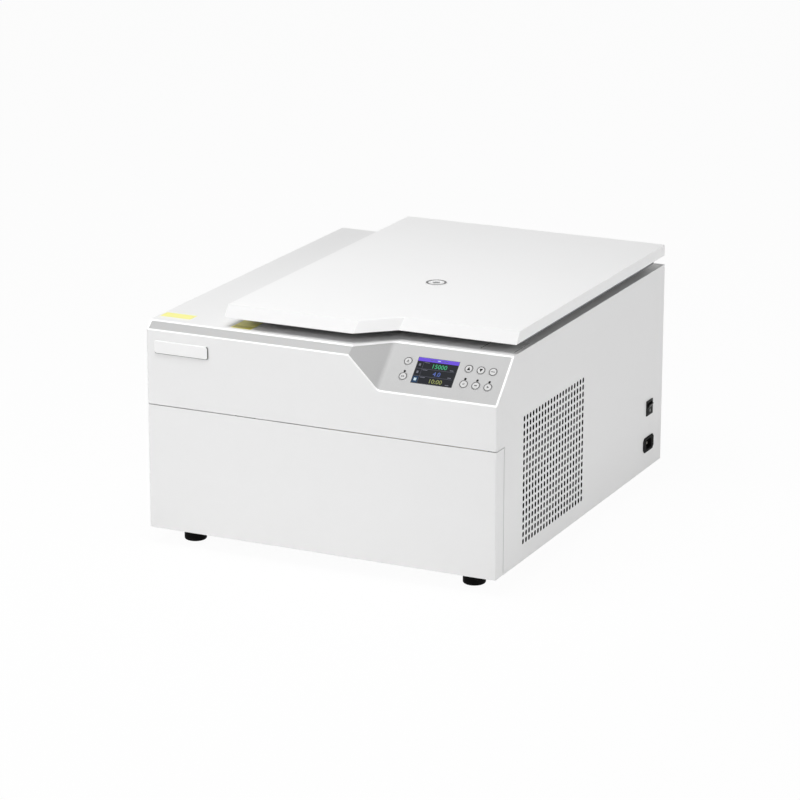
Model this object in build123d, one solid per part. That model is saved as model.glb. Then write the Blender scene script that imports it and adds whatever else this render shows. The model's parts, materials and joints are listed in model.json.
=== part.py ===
from build123d import *
import math
import os

# Refrigerated bench centrifuge, in millimetres.
# X runs to the right seen from the front, Y runs back, Z runs up.
# The origin is on the bench, under the middle of the cabinet.

# Cabinet
cabinet_width = 600.0
cabinet_depth = 692.0
cabinet_height = 338.5
foot_height = 26.0
foot_diameter = 36.0
foot_side_inset = 56.0
foot_end_inset = 48.0
foot_edge_radius = 3.0
panel_wall = 2.0
deck_wall = 3.0
base_wall = 2.5
base_side_gap = 0.3
corner_radius = 2.5
seam_height = 204.7
seam_gap = 1.2
wrap_length = 29.0

# Sloped control front
strip_drop = 13.5
strip_run = 16.0
slope_drop = 63.8
slope_run = 64.0
facet_side = 249.0
crease_radius = 18.0
rim_width = 3.2
band_depth = 1.6
band_sink = 0.4

# Control panel, placed from the cabinet's right side and up the slope
screen_side = 117.0
screen_up = 45.8
screen_width = 69.0
screen_height = 46.0
screen_body_margin = 5.0
screen_body_thickness = 7.0
key_diameter = 13.6
key_gap = 0.3
key_proud = 0.5
key_travel = 0.8
key_flange_diameter = 15.2
key_flange_thickness = 1.0
key_length = 5.0
key_left_side = 166.5
key_right_side = 45.3
key_pitch = 20.0
key_upper_up = 59.0
key_lower_up = 32.0
lamp_up = 41.1
lamp_diameter = 3.0
lamp_stem_diameter = 1.6
board_depth = 11.2
board_thickness = 1.6
board_left_side = 184.0
board_right_side = 8.0
board_lower_up = 17.5
board_upper_up = 67.5
switch_side = 6.0
post_diameter = 5.0

# Badge plate, bare
badge_left_x = 14.6
badge_width = 95.4
badge_base = 288.6
badge_height = 21.0
badge_thickness = 2.2
badge_corner = 4.0

# Lid
lid_gap = 15.3
lid_thickness = 18.5
lid_wall = 2.5
lid_flange = 26.0
lid_front_left_y = 21.5
lid_front_right_y = 70.5
lid_left_bevel = 14.0
lid_right_bevel = 13.0
jog_left_side = 251.5
jog_right_side = 196.0
jog_bevel = 7.0
lid_corner_radius = 3.0
liner_inset = 24.0
liner_rear_inset = 24.0
liner_thickness = 7.6
liner_corner = 6.0

# Chamber; the lid is centred on it
shroud_bowl_gap = 4.5
chamber_y = 295.0
bowl_radius = 145.0
bowl_wall = 1.5
bowl_depth = 173.0
bowl_corner = 25.0
bowl_rim_radius = 158.0
deck_opening_radius = 150.0
seal_inner_radius = 147.0
seal_outer_radius = 157.0
seal_clearance = 0.3
insulation_wall = 20.0
insulation_floor = 25.0
coil_tube_radius = 4.0
coil_gap = 0.3
coil_turns = 7
coil_pitch = 15.0
coil_start_above_floor = 14.0
coil_tail = 100.0
sight_ring_diameter = 37.0
sight_glass_diameter = 24.0
sight_ring_proud = 1.0
sight_glass_thickness = 3.0

# Drive
motor_radius = 75.0
motor_gap = 5.5
motor_neck_radius = 25.0
motor_neck_above_floor = 13.5
motor_plate_width = 220.0
motor_plate_thickness = 6.0
damper_diameter = 34.0
damper_height = 15.0
damper_spacing = 170.0
spindle_radius = 10.0
shaft_clearance = 0.05
rotor_above_floor = 24.5
rotor_hub_height = 68.0
pocket_count = 6
pocket_radius = 15.0
pocket_length = 50.0
pocket_tilt = 30.0
pocket_circle = 64.0
nut_radius = 21.0
nut_height = 16.0
boot_flange_radius = 38.0
boot_flange_thickness = 2.0
boot_hole_radius = 32.0

# Refrigeration
grille_columns = 21
grille_rows = 18
grille_pitch = 11.75
grille_row_pitch = 11.64
grille_first_y = 105.3
grille_first_height = 31.0
grille_slot_width = 5.6
grille_slot_height = 7.9
condenser_thickness = 36.0
condenser_standoff = 2.0
condenser_margin = 3.0
fin_pitch = 8.0
fin_thickness = 1.2
condenser_plate = 4.0
condenser_tube_radius = 4.0
condenser_tube_rows = 6
shroud_thickness = 17.0
shroud_wall = 3.0
fan_radius = 80.0
fan_tip_gap = 3.0
fan_hub_radius = 26.0
fan_hub_length = 12.0
fan_blades = 7
fan_blade_tilt = 32.0
fan_blade_chord = 34.0
fan_blade_thickness = 2.0
fan_height = 114.0
fan_motor_radius = 22.0
fan_motor_length = 34.0
fan_axle_radius = 3.0
fan_arm_width = 8.0
fan_arm_thickness = 3.0
compressor_side = 125.0
compressor_rear = 116.0
compressor_radius = 68.0
compressor_height = 125.0
compressor_foot = 150.0
compressor_foot_thickness = 4.0
grommet_height = 8.0
grommet_diameter = 24.0
grommet_spacing = 118.0
stub_radius = 6.0
stub_length = 14.0
discharge_height = 85.0
liquid_height = 45.0
pipe_radius = 4.0
pipe_bend = 16.0
pipe_lane_gap = 16.0
suction_offset = 20.0
drier_radius = 10.0
drier_length = 60.0
drier_cone = 14.0

# Electrical
rocker_rear = 58.5
rocker_height = 105.8
rocker_width = 26.5
rocker_tall = 25.5
rocker_rim = 3.5
rocker_proud = 2.0
rocker_face_proud = 2.0
rocker_hollow = 2.0
rocker_swing_room = 1.6
rocker_body_depth = 24.0
rocker_tilt = 8.0
rocker_gap = 0.4
rocker_pivot_depth = 6.0
rocker_pin_radius = 1.5
inlet_rear = 60.0
inlet_height = 43.0
inlet_width = 44.5
inlet_tall = 25.5
inlet_proud = 2.0
inlet_body_depth = 30.0
inlet_chamfer = 5.0
socket_width = 24.5
socket_tall = 16.5
socket_depth = 17.0
socket_chamfer = 4.0
prong_spacing = 14.0
prong_length = 11.0
prong_width = 4.0
prong_thickness = 2.0
drive_box_side = 130.0
drive_box_rear = 106.0
drive_box_width = 180.0
drive_box_length = 150.0
drive_box_height = 110.0
sink_height = 40.0
sink_fins = 12
sink_fin_thickness = 3.0
sink_base = 6.0
main_board_front = 386.0
main_board_length = 240.0
main_board_height = 140.0
main_board_base = 90.0
main_board_standoff = 10.0

# Lid lock
strike_y = 90.0
strike_spread = 42.0
strike_rod = 6.0
strike_width = 20.0
strike_drop = 26.0
strike_slot_x = 34.0
strike_slot_y = 12.0
hook_pivot_back = 16.0
hook_pivot_down = 28.0
hook_thickness = 8.0
hook_inner = 36.0
hook_outer = 42.0
hook_low_angle = 45.0
hook_high_angle = 100.0
hook_arm_angle = 60.0
latch_shaft_radius = 6.0
latch_shaft_overhang = 25.0
latch_bracket_thickness = 10.0
latch_bracket_width = 26.0
latch_bracket_below = 10.0
gear_motor_length = 40.0
gear_motor_side = 36.0

# Lid hinge
hinge_spread = 130.0
hinge_length = 80.0
hinge_axis_inset = 8.0
knuckle_radius = 5.2
knuckle_length = 24.0
knuckle_gap = 0.5
hinge_pin_radius = 3.0
hinge_clearance = 0.05
leaf_thickness = 3.0
leaf_depth = 20.0
bracket_thickness = 2.0
bracket_depth = 44.0

# Release cover in the deck
release_side = 65.0
release_width = 57.0
release_front_y = 82.0
release_length = 60.0
release_gap = 1.0
release_depth = 2.0

# Rear panel
vent_columns = 3
vent_rows = 9
vent_width = 52.0
vent_height = 5.0
vent_pitch_x = 62.0
vent_pitch_z = 13.0
vent_side = 140.0
vent_center_height = 150.0
screw_head_radius = 4.0
screw_head_height = 2.2
screw_radius = 2.0
screw_inset = 12.0
screw_length = 8.0

# Places worked out from the sizes above
left = -cabinet_width / 2
right = cabinet_width / 2
front = -cabinet_depth / 2
rear = cabinet_depth / 2
base_z = foot_height
floor_top = base_z + base_wall
deck_z = base_z + cabinet_height
deck_under = deck_z - deck_wall
seam_z = base_z + seam_height
lid_low = deck_z + lid_gap
lid_high = lid_low + lid_thickness
rim_top = deck_z + bowl_wall
bowl_floor = deck_z - bowl_depth
insulation_low = bowl_floor - bowl_wall - insulation_floor
liner_low = lid_low - liner_thickness
coil_radius = bowl_radius + bowl_wall + coil_gap + coil_tube_radius
insulation_inner = coil_radius + coil_tube_radius + coil_gap
insulation_outer = insulation_inner + insulation_wall
shroud_low_x = right - panel_wall - condenser_standoff - condenser_thickness - shroud_thickness
chamber = shroud_low_x - shroud_bowl_gap - insulation_outer, front + chamber_y
lid_left = 2 * chamber[0] - right
compressor_x = right - compressor_side
compressor_y = rear - compressor_rear
pipe_lane_y = compressor_y - compressor_radius - pipe_lane_gap
suction_y = compressor_y + suction_offset
drive_box_x = left + drive_box_side
drive_box_y = rear - drive_box_rear
main_board_y = front + main_board_front
coil_start_z = bowl_floor + coil_start_above_floor
coil_end_z = coil_start_z + (coil_turns + 0.5) * coil_pitch
slope_length = math.hypot(slope_drop, slope_run)
slope_normal = (0.0, -slope_drop / slope_length, slope_run / slope_length)
strip_length = math.hypot(strip_drop, strip_run)
strip_normal = (0.0, -strip_drop / strip_length, strip_run / strip_length)
facet_normal = (1.0, -1.0, 1.0)
slope_foot = (0.0, front, deck_z - slope_drop)
strip_foot = (0.0, front, deck_z - strip_drop)
facet_foot = (right - facet_side, front, deck_z - strip_drop)
crease_point = (right - facet_side + slope_drop - strip_drop, front, deck_z - slope_drop)
panel_floor = deck_wall


def block(x0, x1, y0, y1, z0, z1):
    """A box between two opposite corners."""
    size = (x1 - x0, y1 - y0, z1 - z0)
    middle = ((x0 + x1) / 2, (y0 + y1) / 2, (z0 + z1) / 2)
    return Pos(*middle) * Box(*size)


def post(x, y, z0, z1, radius):
    """An upright cylinder between two heights."""
    return Pos(x, y, (z0 + z1) / 2) * Cylinder(radius, z1 - z0)


def rod_x(x0, x1, y, z, radius):
    """A cylinder lying along X."""
    return Pos((x0 + x1) / 2, y, z) * Rot(0, 90, 0) * Cylinder(radius, x1 - x0)


def rod_y(x, y0, y1, z, radius):
    """A cylinder lying along Y."""
    return Pos(x, (y0 + y1) / 2, z) * Rot(90, 0, 0) * Cylinder(radius, y1 - y0)


def turned(points, x, y):
    """A solid turned about an upright axis from (radius, height) points."""
    profile = Plane.XZ * Polygon(*points, align=None)
    return Pos(x, y, 0) * revolve(profile, Axis.Z)


def joined(shapes):
    """One solid, or a group, from a list of shapes."""
    first = shapes[0]
    return first.fuse(*shapes[1:]) if len(shapes) > 1 else first


def beyond(point, normal, inset):
    """Everything outside a plane that is moved inwards by inset."""
    reach = 3 * cabinet_width
    plane = Plane(origin=point, z_dir=normal).offset(-inset)
    return plane * Box(reach, reach, cabinet_width, align=(Align.CENTER, Align.CENTER, Align.MIN))


def front_cut(inset):
    """What the narrow strip, the facet and the wide slope take off the cabinet's top front."""
    strip = beyond(strip_foot, strip_normal, inset)
    slope = beyond(slope_foot, slope_normal, inset) & beyond(facet_foot, facet_normal, inset)
    crease = slope.edges().sort_by_distance(crease_point)[0]
    return strip + fillet(crease, crease_radius + inset)


def on_slope(side, up, depth=0.0):
    """A plane on the wide slope, side in from the right, its Z pointing out, depth below the surface."""
    share = up / slope_length
    y = front + share * slope_run
    z = deck_z - slope_drop + share * slope_drop
    origin = Vector(right - side, y, z) - Vector(*slope_normal) * depth
    return Plane(origin=origin, x_dir=(1, 0, 0), z_dir=slope_normal)


def key_places():
    """Name, distance from the right side and distance up the slope of the eight keys."""
    upper = ["button_up", "button_down", "button_enter"]
    lower = ["button_set", "button_stop", "button_start"]
    places = [("button_lid_open", key_left_side, key_upper_up),
              ("button_short_spin", key_left_side, key_lower_up)]
    for column in range(3):
        side = key_right_side + (1 - column) * key_pitch
        places.append((upper[column], side, key_upper_up))
        places.append((lower[column], side, key_lower_up))
    return places


def lamp_places():
    """The indicator lamps: one above each lower key."""
    return [(side, lamp_up) for name, side, up in key_places() if up == key_lower_up]


def cabinet_core():
    """The space inside the upper housing, open to both sides and the rear."""
    wide = block(left - 1, right + 1, front + deck_wall, rear + 1, base_z - 1, deck_under)
    return wide - front_cut(deck_wall)


def band_region(margin):
    """The band's outline: the sloped surfaces less a white rim of the margin's width."""
    edge = margin * slope_run / slope_length
    return block(left + margin, right - margin, front + edge, rear, base_z, deck_z - edge)


def band_layer(depth_low, depth_high, margin):
    """A layer under the sloped surfaces between two depths."""
    return (front_cut(depth_low) - front_cut(depth_high)) & band_region(margin)


def make_top_housing():
    """Deck and upper front in one sheet, with the recess of the grey band."""
    outer = block(left, right, front, rear, seam_z, deck_z)
    corners = outer.edges().filter_by(Axis.Z).sort_by(Axis.Y)[:2]
    outer = fillet(corners, corner_radius)
    body = outer - front_cut(0) - cabinet_core()
    body -= band_layer(band_depth, 0, rim_width)
    body -= post(*chamber, deck_under - 1, deck_z + 1, deck_opening_radius)
    for x in strike_x():
        y = front + strike_y
        body -= block(x - strike_slot_x / 2, x + strike_slot_x / 2, y - strike_slot_y / 2, y + strike_slot_y / 2,
                      deck_under - 1, deck_z + 1)
    body -= release_block(0)
    hole = key_diameter / 2 + key_gap
    for name, side, up in key_places():
        body -= on_slope(side, up) * Cylinder(hole, 3 * deck_wall)
    for side, up in lamp_places():
        body -= on_slope(side, up) * Cylinder(lamp_diameter / 2, 3 * deck_wall)
    body -= on_slope(screen_side, screen_up) * Box(screen_width, screen_height, 3 * deck_wall)
    return body


def make_control_band():
    """Grey inset band that follows the strip, the facet and the slope."""
    band = band_layer(band_depth, band_sink, rim_width)
    hole = key_diameter / 2 + key_gap
    for name, side, up in key_places():
        band -= on_slope(side, up) * Cylinder(hole, 3 * deck_wall)
    for side, up in lamp_places():
        band -= on_slope(side, up) * Cylinder(lamp_diameter / 2, 3 * deck_wall)
    band -= on_slope(screen_side, screen_up) * Box(screen_width, screen_height, 3 * deck_wall)
    return band


def make_side_panel(side):
    """Side wall behind the front, notched for the lower front panel's wrap."""
    x0, x1 = (right - panel_wall, right) if side > 0 else (left, left + panel_wall)
    wall = cabinet_core() & block(x0, x1, front, rear, base_z, deck_z)
    notch = block(x0 - 1, x1 + 1, front - 1, front + wrap_length + seam_gap, base_z - 1, seam_z)
    return wall - notch


def grille_cutter():
    """The grille's slots, cut through the right side wall."""
    y = front + grille_first_y + (grille_columns - 1) * grille_pitch / 2
    z = base_z + grille_first_height + (grille_rows - 1) * grille_row_pitch / 2
    plane = Plane(origin=(right - panel_wall / 2, y, z), x_dir=(0, 1, 0), z_dir=(1, 0, 0))
    slots = Sketch() + GridLocations(grille_pitch, grille_row_pitch, grille_columns, grille_rows) * SlotOverall(
        grille_slot_height, grille_slot_width, rotation=90)
    return extrude(plane * slots, panel_wall, both=True)


def make_right_side_panel():
    """Right side wall with grille, rocker switch cut-out and power inlet cut-out."""
    wall = make_side_panel(1) - grille_cutter()
    for y, z, width, tall, rim in cutouts():
        wall -= block(right - 2 * panel_wall, right + 1, y - width / 2 + rim, y + width / 2 - rim,
                      z - tall / 2 + rim, z + tall / 2 - rim)
    return wall


def cutouts():
    """Centre, size and rim of the two cut-outs in the right side wall."""
    rocker = (rear - rocker_rear, base_z + rocker_height, rocker_width, rocker_tall, rocker_rim / 2)
    inlet = (rear - inlet_rear, base_z + inlet_height, inlet_width, inlet_tall, inlet_chamfer / 2)
    return [rocker, inlet]


def make_rear_panel():
    """Rear wall between the side panels, with rows of hot-air slots."""
    wall = block(left + panel_wall, right - panel_wall, rear - panel_wall, rear, base_z, deck_under)
    plane = Plane(origin=(right - vent_side, rear - panel_wall / 2, base_z + vent_center_height),
                  x_dir=(1, 0, 0), z_dir=(0, 1, 0))
    grid = GridLocations(vent_pitch_x, vent_pitch_z, vent_columns, vent_rows)
    slots = Sketch() + grid * SlotOverall(vent_width, vent_height)
    wall -= extrude(plane * slots, panel_wall, both=True)
    for x, z in rear_screw_places():
        wall -= rod_y(x, rear - 2 * panel_wall, rear + 1, z, screw_radius)
    return wall


def rear_screw_places():
    """Eight screws round the rear panel."""
    low = base_z + screw_inset
    high = deck_under - screw_inset
    xs = [left + panel_wall + screw_inset, 0.0, right - panel_wall - screw_inset]
    places = [(x, z) for x in xs for z in (low, high)]
    middle = (low + high) / 2
    return places + [(xs[0], middle), (xs[2], middle)]


def make_rear_screws():
    """Pan-head screws, each a separate solid."""
    screws = []
    for x, z in rear_screw_places():
        shank = rod_y(x, rear - screw_length, rear, z, screw_radius)
        head = rod_y(x, rear, rear + screw_head_height, z, screw_head_radius)
        screws.append(shank + head)
    return Compound(screws)


def make_lower_front_panel():
    """Lower front sheet that wraps round both sides."""
    outer = block(left, right, front, front + wrap_length, base_z, seam_z - seam_gap)
    corners = outer.edges().filter_by(Axis.Z).sort_by(Axis.Y)[:2]
    outer = fillet(corners, corner_radius)
    inner = block(left + panel_wall, right - panel_wall, front + panel_wall, rear, base_z - 1, seam_z)
    return outer - inner


def make_base_pan():
    """Flat base sheet that carries everything inside."""
    x = right - panel_wall - base_side_gap
    return block(-x, x, front + panel_wall + base_side_gap, rear - panel_wall - base_side_gap, base_z, floor_top)


def make_feet():
    """Four round rubber feet."""
    feet = []
    radius = foot_diameter / 2
    for sx in (-1, 1):
        for sy in (-1, 1):
            x = sx * (right - foot_side_inset)
            y = sy * (rear - foot_end_inset)
            foot = post(x, y, 0, base_z, radius)
            foot = fillet(foot.edges().sort_by(Axis.Z)[0], foot_edge_radius)
            feet.append(foot)
    return Compound(feet)


def make_badge_plate():
    """Bare raised plate on the upper front."""
    x = left + badge_left_x + badge_width / 2
    z = base_z + badge_base + badge_height / 2
    plane = Plane(origin=(x, front, z), x_dir=(1, 0, 0), z_dir=(0, -1, 0))
    return extrude(plane * RectangleRounded(badge_width, badge_height, badge_corner), badge_thickness)


def release_block(gap):
    """The release cover's pocket, or the cover when a gap is taken off."""
    x0 = right - release_side + gap
    y0 = front + release_front_y + gap
    x1 = x0 + release_width - 2 * gap
    y1 = y0 + release_length - 2 * gap
    return block(x0, x1, y0, y1, deck_z - release_depth, deck_z)


def make_key(side, up):
    """A key cap with a flange behind the housing that keeps it from falling out."""
    top = on_slope(side, up, -key_proud + band_sink)
    height = key_length + key_proud - band_sink
    cap = top * Cylinder(key_diameter / 2, height, align=(Align.CENTER, Align.CENTER, Align.MAX))
    cap = chamfer(cap.edges().filter_by(GeomType.CIRCLE).sort_by(lambda e: e.center().Z)[-1], 0.3)
    flange = on_slope(side, up, panel_floor) * Cylinder(
        key_flange_diameter / 2, key_flange_thickness, align=(Align.CENTER, Align.CENTER, Align.MAX))
    return cap + flange


def make_lamps():
    """Indicator lamps that shine through the band, standing on the key board."""
    lamps = []
    down = (Align.CENTER, Align.CENTER, Align.MAX)
    for side, up in lamp_places():
        lens = on_slope(side, up, band_sink) * Cylinder(lamp_diameter / 2, panel_floor - band_sink, align=down)
        stem = on_slope(side, up, panel_floor) * Cylinder(lamp_stem_diameter / 2, board_depth - panel_floor, align=down)
        lamps.append(lens + stem)
    return Compound(lamps)


def make_screen_module():
    """Colour screen that fills the window, with its body behind the housing."""
    face = on_slope(screen_side, screen_up, band_sink) * Box(
        screen_width, screen_height, panel_floor - band_sink, align=(Align.CENTER, Align.CENTER, Align.MAX))
    body = on_slope(screen_side, screen_up, panel_floor) * Box(
        screen_width + 2 * screen_body_margin, screen_height + 2 * screen_body_margin, screen_body_thickness,
        align=(Align.CENTER, Align.CENTER, Align.MAX))
    return face + body


def make_key_board():
    """Board behind the slope with one switch under each key and four posts to the housing."""
    middle_side = (board_left_side + board_right_side) / 2
    middle_up = (board_lower_up + board_upper_up) / 2
    width = board_left_side - board_right_side
    height = board_upper_up - board_lower_up
    board = on_slope(middle_side, middle_up, board_depth) * Box(
        width, height, board_thickness, align=(Align.CENTER, Align.CENTER, Align.MAX))
    switch_top = key_length + key_travel + 0.2
    for name, side, up in key_places():
        board += on_slope(side, up, switch_top) * Box(
            switch_side, switch_side, board_depth - switch_top, align=(Align.CENTER, Align.CENTER, Align.MAX))
    for side in (board_left_side - post_diameter, board_right_side + post_diameter):
        for up in (board_lower_up + post_diameter, board_upper_up - post_diameter):
            board += on_slope(side, up, panel_floor) * Cylinder(
                post_diameter / 2, board_depth - panel_floor, align=(Align.CENTER, Align.CENTER, Align.MAX))
    return board


def lid_cut(inset, bevelled=True):
    """What the stepped front takes off the lid: a left stretch, a jog and a right stretch further back."""
    run = 1.0 if bevelled else 0.0
    left_way = (0.0, -lid_thickness, run * lid_left_bevel)
    right_way = (0.0, -lid_thickness, run * lid_right_bevel)
    jog_x = jog_left_side - jog_right_side
    jog_y = lid_front_right_y - lid_front_left_y
    jog_length = math.hypot(jog_x, jog_y)
    jog_way = (lid_thickness * jog_y / jog_length, -lid_thickness * jog_x / jog_length, run * jog_bevel)
    left_part = beyond((0.0, front + lid_front_left_y, lid_low), left_way, inset)
    right_part = beyond((0.0, front + lid_front_right_y, lid_low), right_way, inset)
    jog = beyond((right - jog_left_side, front + lid_front_left_y, lid_low), jog_way, inset)
    return left_part + (right_part & jog)


def lid_solid(inset, z0, z1):
    """The lid's bevelled form between two heights, moved inwards by inset."""
    return block(lid_left + inset, right - inset, front, rear - inset, z0, z1) - lid_cut(inset)


def make_lid_shell():
    """White lid: top skin, walls and an inward flange round the underside."""
    body = lid_solid(0, lid_low, lid_high)
    body = fillet(body.edges().filter_by(Axis.Z), lid_corner_radius)
    body -= lid_solid(lid_wall, lid_low + lid_wall, lid_high - lid_wall)
    body -= lid_solid(lid_flange, lid_low, lid_low + lid_wall)
    body -= post(*chamber, lid_low, lid_high + 1, sight_glass_diameter / 2 + lid_wall)
    return body


def make_lid_foam():
    """Foam slab that fills the lid."""
    foam = lid_solid(lid_wall, lid_low + lid_wall, lid_high - lid_wall)
    foam += lid_solid(lid_flange, lid_low, lid_low + lid_wall)
    return foam - post(*chamber, lid_low - 1, lid_high, sight_glass_diameter / 2 + lid_wall)


def make_lid_liner():
    """Dark plate under the lid that carries the seal and the strikers."""
    plate = block(lid_left + liner_inset, right - liner_inset, front, rear - liner_rear_inset, liner_low, lid_low)
    plate -= lid_cut(liner_inset, bevelled=False)
    plate = fillet(plate.edges().filter_by(Axis.Z), liner_corner)
    return plate - post(*chamber, liner_low - 1, lid_low + 1, sight_glass_diameter / 2 + lid_wall)


def make_lid_seal():
    """Rubber ring that closes on the bowl's rim."""
    return ring(chamber, seal_inner_radius, seal_outer_radius, rim_top + seal_clearance, liner_low)


def ring(centre, inner, outer, z0, z1):
    """A flat upright ring."""
    return post(*centre, z0, z1, outer) - post(*centre, z0 - 1, z1 + 1, inner)


def make_sight_ring():
    """Grey ring with a tube down through the lid."""
    glass = sight_glass_diameter / 2
    tube = ring(chamber, glass, glass + lid_wall, liner_low, lid_high)
    head = ring(chamber, glass, sight_ring_diameter / 2, lid_high, lid_high + sight_ring_proud)
    return tube + head


def make_sight_glass():
    """Clear disc in the ring, near the top."""
    top = lid_high + sight_ring_proud / 2
    return post(*chamber, top - sight_glass_thickness, top, sight_glass_diameter / 2)


def strike_x():
    """The two strikers' places across the cabinet, under the lid's longer left part."""
    middle = (lid_left + right - jog_left_side) / 2
    return [middle - strike_spread, middle + strike_spread]


def make_lid_strikers():
    """Steel loops that the hooks catch."""
    loops = []
    y = front + strike_y
    low = liner_low - strike_drop
    radius = strike_rod / 2
    for x in strike_x():
        half = strike_width / 2
        bar = rod_x(x - half - radius, x + half + radius, y, low, radius)
        legs = [post(x + side * half, y, low, liner_low, radius) for side in (-1, 1)]
        loops.append(joined([bar] + legs))
    return Compound(loops)


def latch_axis():
    """Y and Z of the hook shaft."""
    y = front + strike_y + hook_pivot_back
    z = liner_low - strike_drop - hook_pivot_down
    return y, z


def make_latch_shaft():
    """Cross shaft that turns both hooks."""
    y, z = latch_axis()
    xs = strike_x()
    return rod_x(xs[0] - latch_shaft_overhang, xs[1] + latch_shaft_overhang, y, z, latch_shaft_radius)


def make_latch_hooks():
    """Two hooks, shown let go; they turn forwards over the strikers."""
    y, z = latch_axis()
    hooks = []
    for x in strike_x():
        plane = Plane(origin=(x, y, z), x_dir=(0, 1, 0), z_dir=(1, 0, 0))
        hub = Circle(latch_shaft_radius + 5)
        claw = Circle(hook_outer) - Circle(hook_inner)
        claw &= sector(hook_outer + 10, hook_low_angle, hook_high_angle)
        arm = Circle(hook_outer) & sector(hook_outer + 10, hook_low_angle, hook_arm_angle)
        profile = hub + claw + arm - Circle(latch_shaft_radius)
        hooks.append(extrude(plane * profile, hook_thickness / 2, both=True))
    return Compound(hooks)


def sector(radius, angle0, angle1):
    """A triangle-like sector between two angles, in degrees."""
    angles = [angle0, (angle0 + angle1) / 2, angle1]
    points = [(radius * 1.3 * math.cos(math.radians(a)), radius * 1.3 * math.sin(math.radians(a))) for a in angles]
    return Polygon((0, 0), *points, align=None)


def make_latch_brackets():
    """Two bearing brackets that hang from the deck and hold the shaft."""
    y, z = latch_axis()
    xs = strike_x()
    inner = latch_shaft_overhang - latch_bracket_thickness
    half = latch_bracket_width / 2
    brackets = []
    for x0 in (xs[0] - latch_shaft_overhang, xs[1] + inner):
        body = block(x0, x0 + latch_bracket_thickness, y - half, y + half, z - latch_bracket_below, deck_under)
        body -= rod_x(x0 - 1, x0 + latch_bracket_thickness + 1, y, z, latch_shaft_radius + shaft_clearance)
        brackets.append(body)
    return Compound(brackets)


def make_latch_gear_motor():
    """Gear motor on the left bracket that turns the shaft."""
    y, z = latch_axis()
    x1 = strike_x()[0] - latch_shaft_overhang
    half = gear_motor_side / 2
    return block(x1 - gear_motor_length, x1, y - half, y + half, z - half, z + half)


def hinge_x():
    """The two hinges' places across the cabinet."""
    return [chamber[0] - hinge_spread, chamber[0] + hinge_spread]


def hinge_axis():
    """Y and Z of the lid's hinge axis."""
    return rear - hinge_axis_inset, (deck_z + lid_low) / 2


def make_hinge_brackets():
    """Deck halves of the hinges, each with two outer knuckles."""
    y, z = hinge_axis()
    brackets = []
    for x in hinge_x():
        half = hinge_length / 2
        body = block(x - half, x + half, y - bracket_depth, y, deck_z, deck_z + bracket_thickness)
        for side in (-1, 1):
            x0 = x + side * half
            x1 = x + side * (half - knuckle_length)
            low, high = min(x0, x1), max(x0, x1)
            body += rod_x(low, high, y, z, knuckle_radius)
            body += block(low, high, y - knuckle_radius, y + knuckle_radius, deck_z, z)
        body -= rod_x(x - half - 1, x + half + 1, y, z, hinge_pin_radius)
        brackets.append(body)
    return Compound(brackets)


def make_hinge_leaves():
    """Lid halves of the hinges, each with one middle knuckle."""
    y, z = hinge_axis()
    leaves = []
    for x in hinge_x():
        half = hinge_length / 2
        inner = half - knuckle_length - knuckle_gap
        plate = block(x - half, x + half, y - leaf_depth + knuckle_radius, y + knuckle_radius,
                      lid_low - leaf_thickness, lid_low)
        for side in (-1, 1):
            x0 = x + side * (half + 1)
            x1 = x + side * inner
            plate -= rod_x(min(x0, x1), max(x0, x1), y, z, knuckle_radius + knuckle_gap)
        web = block(x - inner, x + inner, y - knuckle_radius, y + knuckle_radius, z, lid_low)
        leaf = plate + web + rod_x(x - inner, x + inner, y, z, knuckle_radius)
        leaf -= rod_x(x - half, x + half, y, z, hinge_pin_radius + hinge_clearance)
        leaves.append(leaf)
    return Compound(leaves)


def make_hinge_pins():
    """Steel pins held in the deck halves."""
    y, z = hinge_axis()
    half = hinge_length / 2
    return Compound([rod_x(x - half, x + half, y, z, hinge_pin_radius) for x in hinge_x()])


def make_bowl():
    """Spun steel bowl with a rim on the deck and a hole for the motor's neck."""
    outer = bowl_radius + bowl_wall
    body = post(*chamber, bowl_floor - bowl_wall, rim_top, outer)
    body = fillet(body.edges().sort_by(Axis.Z)[0], bowl_corner + bowl_wall)
    body += post(*chamber, deck_z, rim_top, bowl_rim_radius)
    hollow = post(*chamber, bowl_floor, rim_top + 10, bowl_radius)
    hollow = fillet(hollow.edges().sort_by(Axis.Z)[0], bowl_corner)
    body -= hollow
    return body - post(*chamber, bowl_floor - 10, bowl_floor + 10, boot_hole_radius)


def make_insulation():
    """Foam cup round the bowl, with a way for the coil's two ends."""
    body = post(*chamber, insulation_low, deck_under, insulation_outer)
    body -= post(*chamber, bowl_floor - bowl_wall, deck_under + 1, insulation_inner)
    body -= post(*chamber, insulation_low - 1, bowl_floor + 1, boot_hole_radius)
    for x, z in ((chamber[0] - coil_radius, coil_start_z), (chamber[0] + coil_radius, coil_end_z)):
        body -= rod_y(x, chamber[1], chamber[1] + insulation_outer, z, coil_tube_radius + coil_gap)
    return body


def coil_point(turn):
    """A point on the coil and its direction after a number of turns."""
    angle = math.pi + 2 * math.pi * turn
    point = Vector(chamber[0] + coil_radius * math.cos(angle), chamber[1] + coil_radius * math.sin(angle),
                   coil_start_z + coil_pitch * turn)
    rise = coil_pitch / (2 * math.pi * coil_radius)
    direction = Vector(-math.sin(angle), math.cos(angle), rise).normalized()
    return point, direction


def flat_end(turn):
    """A coil end whose direction lies level, so the straight tail joins it smoothly."""
    point, direction = coil_point(turn)
    return point, Vector(direction.X, direction.Y, 0).normalized()


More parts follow.
